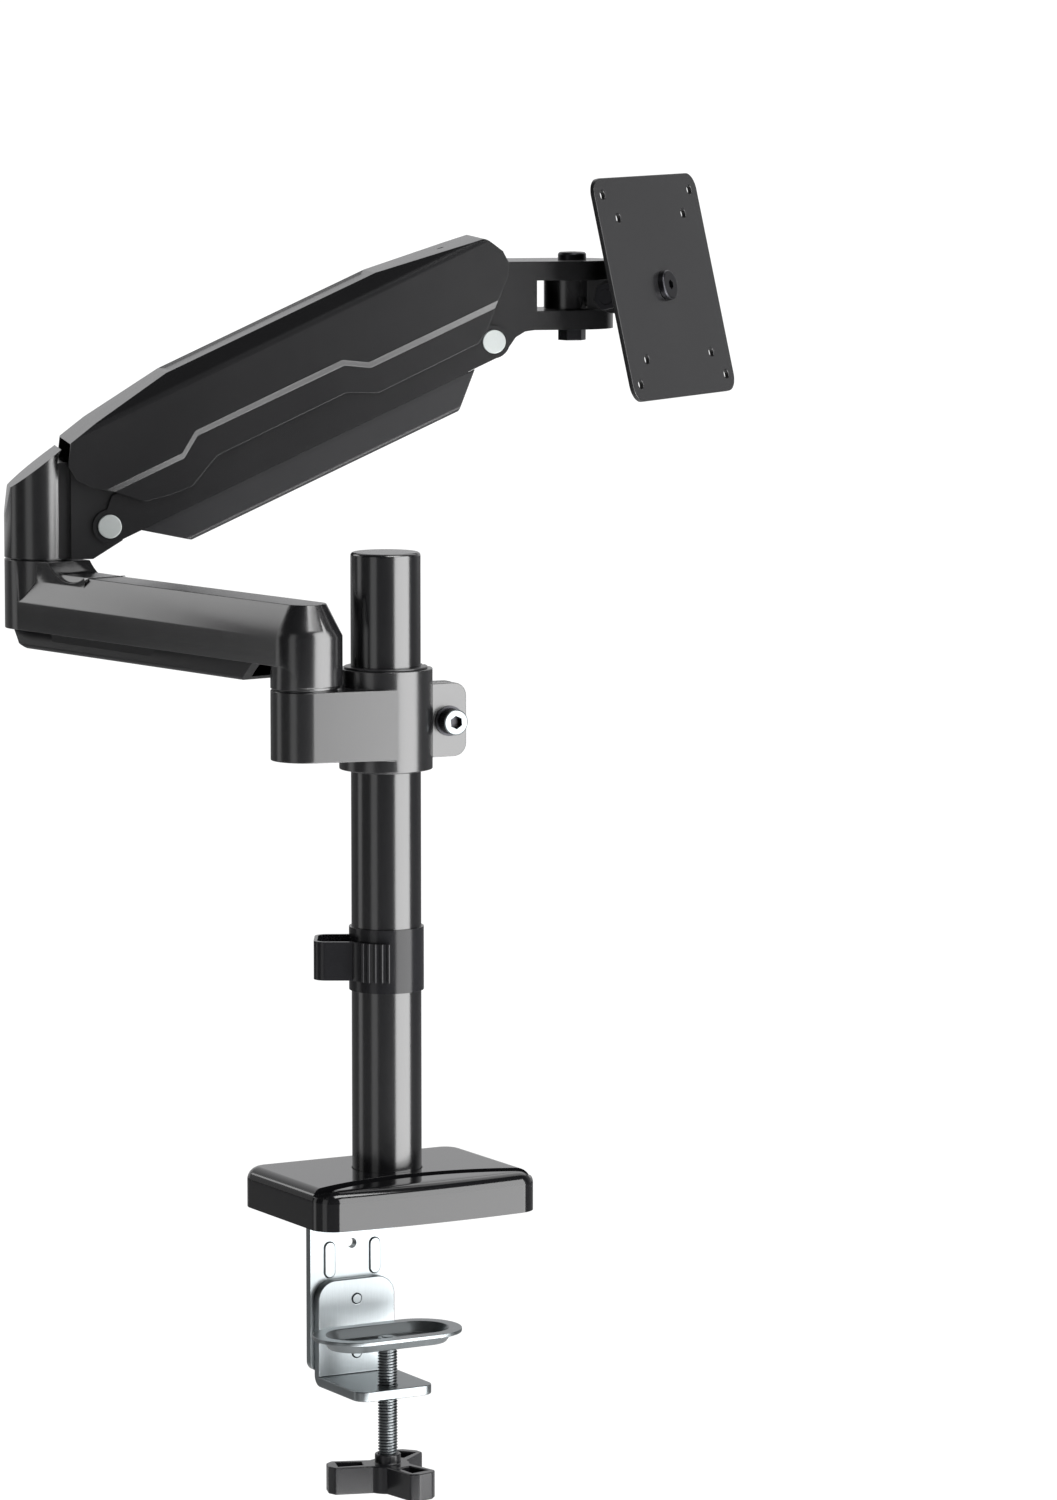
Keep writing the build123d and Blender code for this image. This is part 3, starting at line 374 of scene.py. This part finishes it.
gloss_shell = coated("gloss_shell", *DEEP_BLACK, 0.10, 0.04, 420.0, 0.05, index=1.52)
gloss_tube = coated("gloss_tube", *DEEP_BLACK, 0.19, 0.04, 700.0, 0.06)
gloss_cast = coated("gloss_cast", *CAST_BLACK, 0.23, 0.05, 800.0, 0.10)
satin_press = coated("satin_press", *SATIN_BLACK, 0.24, 0.05, 1500.0, 0.15, index=1.5)
matt_trough = coated("matt_trough", *TROUGH_BLACK, 0.42, 0.08, 2200.0, 0.3, index=1.4)
moulded_black = coated("moulded_black", *MOULDED_BLACK, 0.20, 0.06, 1300.0, 0.15, index=1.38)
bearing_black = coated("bearing_black", *BEARING_BLACK, 0.30, 0.06, 1800.0, 0.15, index=1.6)
print("blacks:", [m.name for m in bpy.data.materials if m.name != "pale_floor"])

# %% [markdown]
# The metals differ by colour and by how sharply they shine: cool zinc plate on the clamp, warmer
# nickel on the pins, dark oxide on the screws, and ground steel on the shafts and the gas rod.  The
# flanks of the thread get a dark metal of their own, painted shade between the bright crests.

# %% Mix the metals
bright_zinc = plated("bright_zinc", (0.175, 0.191, 0.197), (0.23, 0.248, 0.256), 0.32, 0.06)
# painted shade for the thread's flanks: a near-black metal that stands in for the shade between crests
painted_thread_shade = plated("painted_thread_shade", (0.04, 0.045, 0.05), (0.07, 0.075, 0.08), 0.40, 0.08)
pin_nickel = plated("pin_nickel", (0.33, 0.35, 0.345), (0.38, 0.40, 0.395), 0.50, 0.08, 900.0, 0.2)
oxide_steel = plated("oxide_steel", (0.030, 0.030, 0.033), (0.05, 0.05, 0.055), 0.34, 0.10, 700.0, 0.3)
ground_rod = plated("ground_rod", (0.50, 0.52, 0.54), (0.62, 0.64, 0.66), 0.16, 0.05, 300.0, 0.1)
print("metals:", [m.name for m in (bright_zinc, painted_thread_shade, pin_nickel, oxide_steel, ground_rod)])

# %% [markdown]
# The **foot pad** is closed-cell foam: tiny pits all over and no shine.  A voronoi pattern makes the
# cells, and the same cells darken the colour in the pits as painted shade.

# %% Mix the foam
foam, foam_tree, foam_shader = start_material("cell_foam")
foam_place = foam_tree.nodes.new("ShaderNodeTexCoord")
cells = foam_tree.nodes.new("ShaderNodeTexVoronoi")
cells.inputs["Scale"].default_value = 1600.0
foam_tree.links.new(foam_place.outputs["Object"], cells.inputs["Vector"])
foam_bump = foam_tree.nodes.new("ShaderNodeBump")
foam_bump.inputs["Distance"].default_value = 0.0002
foam_tree.links.new(cells.outputs["Distance"], foam_bump.inputs["Height"])
foam_tree.links.new(foam_bump.outputs["Normal"], foam_shader.inputs["Normal"])
# painted shade: the colour is darkest at the middle of each cell, where the bump sinks into a pit
foam_tree.links.new(tint(foam_tree, cells.outputs["Distance"], (0.012, 0.012, 0.012), (0.04, 0.04, 0.04)),
                    foam_shader.inputs["Base Color"])
foam_shader.inputs["Roughness"].default_value = 0.92
print("foam cells per metre:", cells.inputs["Scale"].default_value)

# %% [markdown]
# ## Which part wears which finish
# The record's slots group parts by what they are made of.  Within one slot the finish still
# changes: the pole is glossy and the pressed cover of the arm is satin, though both are coated steel.

# %% Dress each part
SLOT_FINISH = {
    "gloss_black_plastic": gloss_shell, "matte_black_plastic": moulded_black,
    "black_coated_steel": gloss_tube, "black_coated_cast": gloss_cast, "zinc_plate": bright_zinc,
    "black_oxide": oxide_steel, "satin_steel": pin_nickel, "foot_pad": foam,
    "bearing_plastic": bearing_black,
}
OWN_FINISH = {
    "upper_cover": satin_press, "lower_link": satin_press, "upper_link": satin_press,
    "link_cable_cover": matt_trough, "lower_cable_cover": matt_trough, "head_bracket": satin_press,
    "vesa_plate": satin_press, "tilt_bracket": satin_press, "gas_rod": ground_rod,
    "shoulder_shaft": ground_rod, "elbow_shaft": ground_rod,
    "pole_cap": gloss_tube, "clamp_knob": moulded_black,
}


def finish_of(name):
    """The finish that a part wears."""
    return OWN_FINISH.get(name, SLOT_FINISH[slots_of[name]])


for name, part in nodes.items():
    part.data.materials.clear()
    part.data.materials.append(finish_of(name))
print("dressed", len(nodes), "parts")

# %% [markdown]
# ## Rounded edges
# The measured solids have knife edges, and no real part has.  Sheet metal is tumbled, castings are
# blasted, and mould tools are radiused, so a thin line of light runs along every edge.  Each shown
# part is copied, its loose triangles are merged, flat areas are dissolved to single faces, and a
# small bevel goes along the corners.  The width differs by how the part was made.

# %% Helpers for working on one piece
SMOOTH_BELOW = math.radians(32)
FLAT_BELOW = math.radians(0.4)
WELD_GAP = 0.004 * MM


def clear_selection():
    """Leave nothing selected, so that an operator touches only what is chosen next."""
    if bpy.context.object and bpy.context.object.mode != "OBJECT":
        bpy.ops.object.mode_set(mode="OBJECT")
    bpy.ops.object.select_all(action="DESELECT")


def pick_only(piece):
    """Select this piece and make it active."""
    clear_selection()
    piece.select_set(True)
    bpy.context.view_layer.objects.active = piece


def apply_modifiers(piece):
    """Apply every modifier, first to last."""
    pick_only(piece)
    for modifier in list(piece.modifiers):
        bpy.ops.object.modifier_apply(modifier=modifier.name)


def settle(piece, finish, body):
    """Smooth a finished piece, dress it and let it ride on its body."""
    pick_only(piece)
    bpy.ops.object.transform_apply(location=True, rotation=True, scale=True)
    bpy.ops.object.shade_smooth_by_angle(angle=SMOOTH_BELOW)
    flatten = piece.modifiers.new("flat_faces_stay_flat", "WEIGHTED_NORMAL")
    flatten.keep_sharp = True
    flatten.weight = 80
    apply_modifiers(piece)
    piece.data.materials.clear()
    piece.data.materials.append(finish)
    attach(piece, body)


def merged_copy(name):
    """A copy of a measured part whose triangles are merged into whole faces."""
    part = nodes[name]
    piece = bpy.data.objects.new(name + "_finished", part.data.copy())
    piece.data.transform(part.matrix_world)
    bpy.context.scene.collection.objects.link(piece)
    pick_only(piece)
    bpy.ops.object.mode_set(mode="EDIT")
    bpy.ops.mesh.select_all(action="SELECT")
    bpy.ops.mesh.remove_doubles(threshold=WELD_GAP)
    bpy.ops.mesh.dissolve_limited(angle_limit=FLAT_BELOW)
    bpy.ops.object.mode_set(mode="OBJECT")
    return piece


# %% [markdown]
# A bevel wider than the short edges beside it folds faces over, and they show as black splinters.
# Narrowing every bevel would lose the line of light, so each piece is tried at its full width
# first, then narrower, and only at last with Blender's own limit on overlap.

# %% A helper that rounds the edges
BACK_TO_BACK = -0.57
BEVEL_TRIES = ((1.0, False), (0.75, False), (0.55, False), (0.4, False), (1.0, True))
rounding = {}


def folded_edges(piece):
    """Count the edges where two faces lie almost back to back, which a bevel gone wrong leaves."""
    normals = {}
    for face in piece.data.polygons:
        for edge in face.edge_keys:
            normals.setdefault(edge, []).append(face.normal.copy())
    return sum(len(pair) == 2 and pair[0].dot(pair[1]) < BACK_TO_BACK for pair in normals.values())


def round_edges(piece, width, segments=3, sharper_than=33):
    """Bevel the corners of a piece, narrower where the full width would fold faces over."""
    sound = piece.data.copy()
    for part, clamp in BEVEL_TRIES:
        bevel = piece.modifiers.new("round_edges", "BEVEL")
        bevel.width = width * part * MM
        bevel.segments = segments
        bevel.limit_method = "ANGLE"
        bevel.angle_limit = math.radians(sharper_than)
        bevel.use_clamp_overlap = clamp
        bevel.loop_slide = False
        bevel.miter_outer = "MITER_SHARP"
        apply_modifiers(piece)
        if folded_edges(piece) == 0 or clamp:
            break
        piece.data = sound.copy()
    rounding[piece.name] = (round(width * part, 2), clamp)


# %% [markdown]
# The widths wanted, in millimetres: a wide one on castings and the hand knob, a fine one on sheet
# and mouldings.  What each piece really got is printed.

# %% Round the edges of each part
EDGE_WIDTHS = {
    "base_cover": 0.35, "clamp_upright": 0.55, "clamp_jaw": 0.6, "press_plate": 0.4,
    "clamp_knob": 0.9, "cable_clip": 0.35, "pole_liner": 0.3, "pole_clamp": 0.8,
    "lower_arm": 0.9, "lower_cable_cover": 0.5, "elbow_yoke": 0.8, "lower_link": 0.45,
    "upper_link": 0.35, "link_cable_cover": 0.4, "head_bracket": 0.7,
    "pan_knuckle": 0.5, "tilt_bracket": 0.5, "vesa_plate": 0.45, "swivel_nut": 0.3,
    "tilt_nut": 0.3, "clamp_nut": 0.3,
}
finished = {}
for name, width in EDGE_WIDTHS.items():
    piece = merged_copy(name)
    round_edges(piece, width)
    settle(piece, finish_of(name), bodies_of[name])
    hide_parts(name)
    finished[name] = piece
print("rounded:", {n: len(p.data.polygons) for n, p in finished.items()})
print("widths in mm, and whether clamped:", rounding)

# %% [markdown]
# The snap-on trough under the lower arm is square at its far end, so its two corners would peep out
# past the round elbow barrel.  They are drawn in towards the middle, where the barrel hides them.

# %% Draw in the trough's corners under the elbow
SHOULDER_PLACE = Vector(joints["shoulder_turn"]["pos_m"])
LOWER_ALONG = Vector(joints["elbow_turn"]["pos_m"]) - SHOULDER_PLACE
LOWER_ALONG.z = 0
ARM_REACH = LOWER_ALONG.length
LOWER_ALONG.normalize()
LOWER_ACROSS = Vector((-LOWER_ALONG.y, LOWER_ALONG.x, 0))
CORNER_START = ARM_REACH + 3 * MM
DRAWN_BY = 0.45
drawn_in = 0
for vertex in finished["lower_cable_cover"].data.vertices:
    place = vertex.co - SHOULDER_PLACE
    if place.dot(LOWER_ALONG) > CORNER_START:
        vertex.co -= LOWER_ACROSS * place.dot(LOWER_ACROSS) * DRAWN_BY
        drawn_in += 1
finished["lower_cable_cover"].data.update()
print("corners drawn in:", drawn_in, "reach:", round(ARM_REACH / MM, 1))

# %% [markdown]
# ## The pressed cover of the upper arm
# The cover is one steel pressing.  Its side steps in along a jogged line, and a real press can't
# make an upright step: the metal flows down a slope with soft corners, which draws a bright line
# across the dark side.  The measured part has the step upright, so the line's outer corner is slid
# up to make the slope.  The fold below the roof gets a wide soft bevel, and the roof is sunk
# between two rails.

# %% Find a place on the cover in its own directions
ARM_TURN = math.radians(-19.5)
ARM_PITCH = math.radians(24.9)
LINK_ORIGIN = Vector(joints["arm_lift"]["pos_m"])
ALONG = Vector((math.cos(ARM_TURN) * math.cos(ARM_PITCH), math.sin(ARM_TURN) * math.cos(ARM_PITCH),
                math.sin(ARM_PITCH)))
ACROSS = Vector((-math.sin(ARM_TURN), math.cos(ARM_TURN), 0))
UPWARD = ALONG.cross(ACROSS)


def link_place(point):
    """Millimetres along, across and above the lower link, from its rear pin."""
    away = (Vector(point) - LINK_ORIGIN) / MM
    return away.dot(ALONG), away.dot(ACROSS), away.dot(UPWARD)


print("cover directions:", [round(v, 3) for v in UPWARD])

# %% Slope the pressed step
STEP_LINE = [(-20, 15.5), (50.2, 15.7), (61.5, 23.3), (146.9, 23.3), (158.9, 16.1), (270, 16.1)]
STEP_SLOPE = 3.0
STEP_REACH = 1.0
COVER_HALF = 29
COVER_SLACK = 0.05
STEP_STRETCHES = ((30, 225, 0.0), (0, 30, -1.3), (225, 260, 0.9))


def height_over_step(s, n):
    """How far a place on the side is from the step's line, straight up."""
    for (s0, n0), (s1, n1) in zip(STEP_LINE, STEP_LINE[1:]):
        if s0 <= s <= s1:
            return n - (n0 + (n1 - n0) * (s - s0) / (s1 - s0))
    return 99.0


def select_vertices(piece, wanted):
    """Select the vertices whose place on the link passes a test, and return how many."""
    pick_only(piece)
    bpy.ops.object.mode_set(mode="EDIT")
    bpy.ops.mesh.select_mode(type="VERT")
    bpy.ops.mesh.select_all(action="DESELECT")
    bpy.ops.object.mode_set(mode="OBJECT")
    count = 0
    for vertex in piece.data.vertices:
        vertex.select = wanted(*link_place(vertex.co))
        count += vertex.select
    bpy.ops.object.mode_set(mode="EDIT")
    return count


def on_side(a):
    """Whether a place lies on one of the cover's two outer sides."""
    return abs(abs(a) - COVER_HALF) < COVER_SLACK


cover = merged_copy("upper_cover")
for low, high, slide in STEP_STRETCHES:
    count = select_vertices(cover, lambda s, a, n: low <= s < high and on_side(a)
                            and abs(height_over_step(s, n)) < STEP_REACH)
    bpy.ops.transform.translate(value=(UPWARD + ALONG * slide) * STEP_SLOPE * MM)
    bpy.ops.object.mode_set(mode="OBJECT")
    print("slid", count, "corners between", low, "and", high)

# %% [markdown]
# Sheet can't be folded to a knife edge.  The fold where the sides turn in to the roof gets a bevel
# several times wider than the other edges, in six segments, so that it shades as one round.

# %% Soften the fold under the roof
FOLD_LOW, FOLD_HIGH = 50.9, 52.0
FOLD_WIDTH = 2.4 * MM
count = select_vertices(cover, lambda s, a, n: on_side(a) and FOLD_LOW < n < FOLD_HIGH)
bpy.ops.mesh.bevel(offset=FOLD_WIDTH, segments=6, affect="EDGES")
bpy.ops.object.mode_set(mode="OBJECT")
print("fold corners:", count)

# %% [markdown]
# The roof has a shallow panel that stiffens it.  Its flat faces are found by their normal and
# height, inset by the width of a rail, and moved down.

# %% Sink the roof between its rails
ROOF_LOW = 58.5
ROOF_AREA = 0.0005
RAIL_WIDTH = 3.2 * MM
ROOF_DEPTH = 1.1 * MM
pick_only(cover)
bpy.ops.object.mode_set(mode="EDIT")
bpy.ops.mesh.select_mode(type="FACE")
bpy.ops.mesh.select_all(action="DESELECT")
bpy.ops.object.mode_set(mode="OBJECT")
for face in cover.data.polygons:
    height = link_place(face.center)[2]
    face.select = face.normal.dot(UPWARD) > 0.98 and height > ROOF_LOW and face.area > ROOF_AREA
bpy.ops.object.mode_set(mode="EDIT")
bpy.ops.mesh.inset(thickness=RAIL_WIDTH)
bpy.ops.transform.translate(value=-UPWARD * ROOF_DEPTH)
bpy.ops.object.mode_set(mode="OBJECT")
round_edges(cover, 0.55, 3, 24)
settle(cover, satin_press, bodies_of["upper_cover"])
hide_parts("upper_cover")
print("cover faces:", len(cover.data.polygons))

# %% [markdown]
# ## The clamp screw's thread
# The solid rod is smooth, and the real one is an M10 screw whose crests catch the light as fine
# stripes.  One tooth of the thread is drawn as a line, from a root up to a crest and down again,
# and a Screw modifier winds it up the rod, one pitch to a turn.

# %% Draw one tooth
THREAD_PITCH = 1.5 * MM
THREAD_CREST = 5.0 * MM
THREAD_ROOT = 4.15 * MM
THREAD_BOTTOM = -137.4 * MM
THREAD_TURNS = 44


def draw_line(name, points):
    """A line of edges through points, grown by extruding one vertex."""
    clear_selection()
    bpy.ops.mesh.primitive_plane_add(size=0.001)
    line = bpy.context.object
    line.name = name
    bpy.ops.object.mode_set(mode="EDIT")
    bpy.ops.mesh.select_mode(type="VERT")
    bpy.ops.mesh.select_all(action="SELECT")
    bpy.ops.mesh.merge(type="CENTER")
    bpy.ops.transform.translate(value=points[0])
    for here, there in zip(points, points[1:]):
        step = Vector(there) - Vector(here)
        bpy.ops.mesh.extrude_region_move(TRANSFORM_OT_translate={"value": step})
    bpy.ops.object.mode_set(mode="OBJECT")
    return line


tooth = draw_line("clamp_thread", [
    (THREAD_ROOT, 0, THREAD_BOTTOM),
    (THREAD_ROOT, 0, THREAD_BOTTOM + 0.12 * THREAD_PITCH),
    (THREAD_CREST, 0, THREAD_BOTTOM + 0.50 * THREAD_PITCH),
    (THREAD_CREST, 0, THREAD_BOTTOM + 0.62 * THREAD_PITCH),
    (THREAD_ROOT, 0, THREAD_BOTTOM + THREAD_PITCH)])
print("tooth points:", len(tooth.data.vertices))

# %% [markdown]
# The line is wound into a ribbon of 44 turns.  Neighbouring turns share their points, so doubles
# are merged, the two open ends are closed, and the normals are made to agree.

# %% Wind the tooth up the rod
wind = tooth.modifiers.new("wind", "SCREW")
wind.axis = "Z"
wind.screw_offset = THREAD_PITCH
wind.iterations = THREAD_TURNS
wind.steps = 28
wind.render_steps = 28
wind.use_merge_vertices = True
wind.merge_threshold = 0.000002
apply_modifiers(tooth)
bpy.ops.object.mode_set(mode="EDIT")
bpy.ops.mesh.select_mode(type="VERT")
bpy.ops.mesh.select_all(action="SELECT")
bpy.ops.mesh.remove_doubles(threshold=0.000003)
bpy.ops.mesh.select_all(action="DESELECT")
bpy.ops.mesh.select_non_manifold()
bpy.ops.mesh.fill_holes(sides=0)
bpy.ops.mesh.select_all(action="SELECT")
bpy.ops.mesh.normals_make_consistent(inside=False)
bpy.ops.object.mode_set(mode="OBJECT")
print("thread faces:", len(tooth.data.polygons))

# %% [markdown]
# A plain core fills the rod: a chamfered point below the thread and the thinner neck above it,
# where the press plate turns.  A disc is extruded and scaled in steps, as on a lathe.

# %% Turn the core of the clamp screw
def turn_steps(name, radius, start, steps, sides=48):
    """A turned shape: a disc extruded up by each step and scaled to its radius."""
    clear_selection()
    bpy.ops.mesh.primitive_circle_add(vertices=sides, radius=radius * MM, fill_type="NGON",
                                      location=(0, 0, start * MM))
    piece = bpy.context.object
    piece.name = name
    bpy.ops.object.transform_apply(location=True, rotation=False, scale=False)
    bpy.ops.object.mode_set(mode="EDIT")
    bpy.ops.mesh.select_mode(type="FACE")
    bpy.ops.mesh.select_all(action="SELECT")
    now = radius
    height = start
    for rise, wide in steps:
        bpy.ops.mesh.extrude_region_move(TRANSFORM_OT_translate={"value": (0, 0, rise * MM)})
        height += rise
        bpy.ops.transform.resize(value=(wide / now, wide / now, 1), center_override=(0, 0, height * MM))
        now = wide
    bpy.ops.mesh.select_all(action="SELECT")
    bpy.ops.mesh.normals_make_consistent(inside=False)
    bpy.ops.object.mode_set(mode="OBJECT")
    return piece


CORE_STEPS = [(0.9, 4.2), (66.9, 4.2), (0.6, 4.6), (0.4, 4.6), (0.4, 3.0), (2.6, 3.0), (0.5, 2.6)]
core = turn_steps("clamp_core", 3.4, -138.0, CORE_STEPS)
clear_selection()
core.select_set(True)
tooth.select_set(True)
bpy.context.view_layer.objects.active = tooth
bpy.ops.object.join()
tooth.name = "clamp_thread"
settle(tooth, bright_zinc, bodies_of["clamp_rod"])
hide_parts("clamp_rod")
print("clamp screw from", round(min(v.co.z for v in tooth.data.vertices) / MM, 1),
      "to", round(max(v.co.z for v in tooth.data.vertices) / MM, 1), "mm")

# %% [markdown]
# The crests keep the bright zinc and the flanks below them get a dark metal, painted shade that
# draws the stripes.  The flanks are the sloping faces between the root and the crest, so they are
# found by their distance from the rod's axis and get the painted shade.

# %% Paint shade on the flanks of the thread
thread_x = [v.co.x for v in tooth.data.vertices]
thread_y = [v.co.y for v in tooth.data.vertices]
screw_axis = Vector(((min(thread_x) + max(thread_x)) / 2, (min(thread_y) + max(thread_y)) / 2))
FLANK_FROM, FLANK_TO = 4.2 * MM, 4.7 * MM
# the flank faces get the dark metal as painted shade
tooth.data.materials.append(painted_thread_shade)
painted_shade_faces = 0
for face in tooth.data.polygons:
    if FLANK_FROM < (face.center.xy - screw_axis).length < FLANK_TO and abs(face.normal.z) > 0.2:
        face.material_index = 1
        painted_shade_faces += 1
print("flank faces:", painted_shade_faces, "of", len(tooth.data.polygons))

# %% [markdown]
# ## The pinch bolt
# The bolt that closes the clamp is a socket-head screw: black on the knurled side that fingers
# turn, and bright zinc on the face.  The head is turned in steps, every second strip of its side is
# drawn inwards to make the knurl.

# %% Turn the bolt's head and its shank
CLAMP_TURN = math.radians(175.5)
BOLT_PLACE = Vector((-31.6 * math.cos(CLAMP_TURN), -31.6 * math.sin(CLAMP_TURN), 246.5)) * MM
BOLT_AXIS = Vector((-math.sin(CLAMP_TURN), math.cos(CLAMP_TURN), 0))
SHANK_STEPS = [(0.6, 4.0), (21.4, 4.0)]
FLANGE_STEPS = [(0.02, 7.4), (0.25, 7.6), (0.7, 7.6)]
HEAD_STEPS = [(0.05, 6.3), (0.3, 6.5), (6.7, 6.5), (0.35, 6.35), (0.35, 5.9)]
HEAD_SIDES = 72
FACE_HEIGHT = 15.0
KNURL_FROM = 8.4
KNURL_GAP = 0.08 * MM
KNURL_DEPTH = 0.3 * MM
bolt = turn_steps("clamp_bolt_finished", 4.0, -15.0, SHANK_STEPS + FLANGE_STEPS + HEAD_STEPS, HEAD_SIDES)
pick_only(bolt)
bpy.ops.object.mode_set(mode="EDIT")
bpy.ops.mesh.select_mode(type="FACE")
bpy.ops.mesh.select_all(action="DESELECT")
bpy.ops.object.mode_set(mode="OBJECT")
strips = 0
for face in bolt.data.polygons:
    along_head = KNURL_FROM * MM < face.center.z < FACE_HEIGHT * MM and abs(face.normal.z) < 0.1
    turn = math.degrees(math.atan2(face.center.y, face.center.x)) % 10
    face.select = along_head and face.center.xy.length > 6 * MM and turn < 5
    strips += face.select
bpy.ops.object.mode_set(mode="EDIT")
bpy.ops.mesh.inset(thickness=KNURL_GAP, use_individual=True)
bpy.ops.transform.shrink_fatten(value=-KNURL_DEPTH)
bpy.ops.object.mode_set(mode="OBJECT")
print("knurl strips:", strips)

# %% [markdown]
# The socket takes a 6 mm hex key, so a six-sided bar 6 mm across its flats is cut out of the face
# with a Boolean modifier.  The bolt is made upright at the origin and only then put in its place.

# %% Cut the hex socket in the face
KEY_RADIUS = 3.46 * MM
KEY_DEPTH = 9 * MM
KEY_HEIGHT = 16.4 * MM
clear_selection()
bpy.ops.mesh.primitive_cylinder_add(vertices=6, radius=KEY_RADIUS, depth=KEY_DEPTH,
                                    location=(0, 0, KEY_HEIGHT))
hex_key = bpy.context.object
cut = bolt.modifiers.new("hex", "BOOLEAN")
cut.operation = "DIFFERENCE"
cut.object = hex_key
apply_modifiers(bolt)
bpy.data.objects.remove(hex_key)
turn_to_axis = Vector((0, 0, 1)).rotation_difference(BOLT_AXIS).to_matrix().to_4x4()
bolt.data.transform(Matrix.Translation(BOLT_PLACE) @ turn_to_axis)
settle(bolt, oxide_steel, bodies_of["clamp_bolt"])
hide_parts("clamp_bolt")
bolt.data.materials.append(bright_zinc)
for face in bolt.data.polygons:
    height = (face.center - BOLT_PLACE).dot(BOLT_AXIS) / MM
    face.material_index = 1 if height > FACE_HEIGHT else 0
print("bolt faces:", len(bolt.data.polygons))
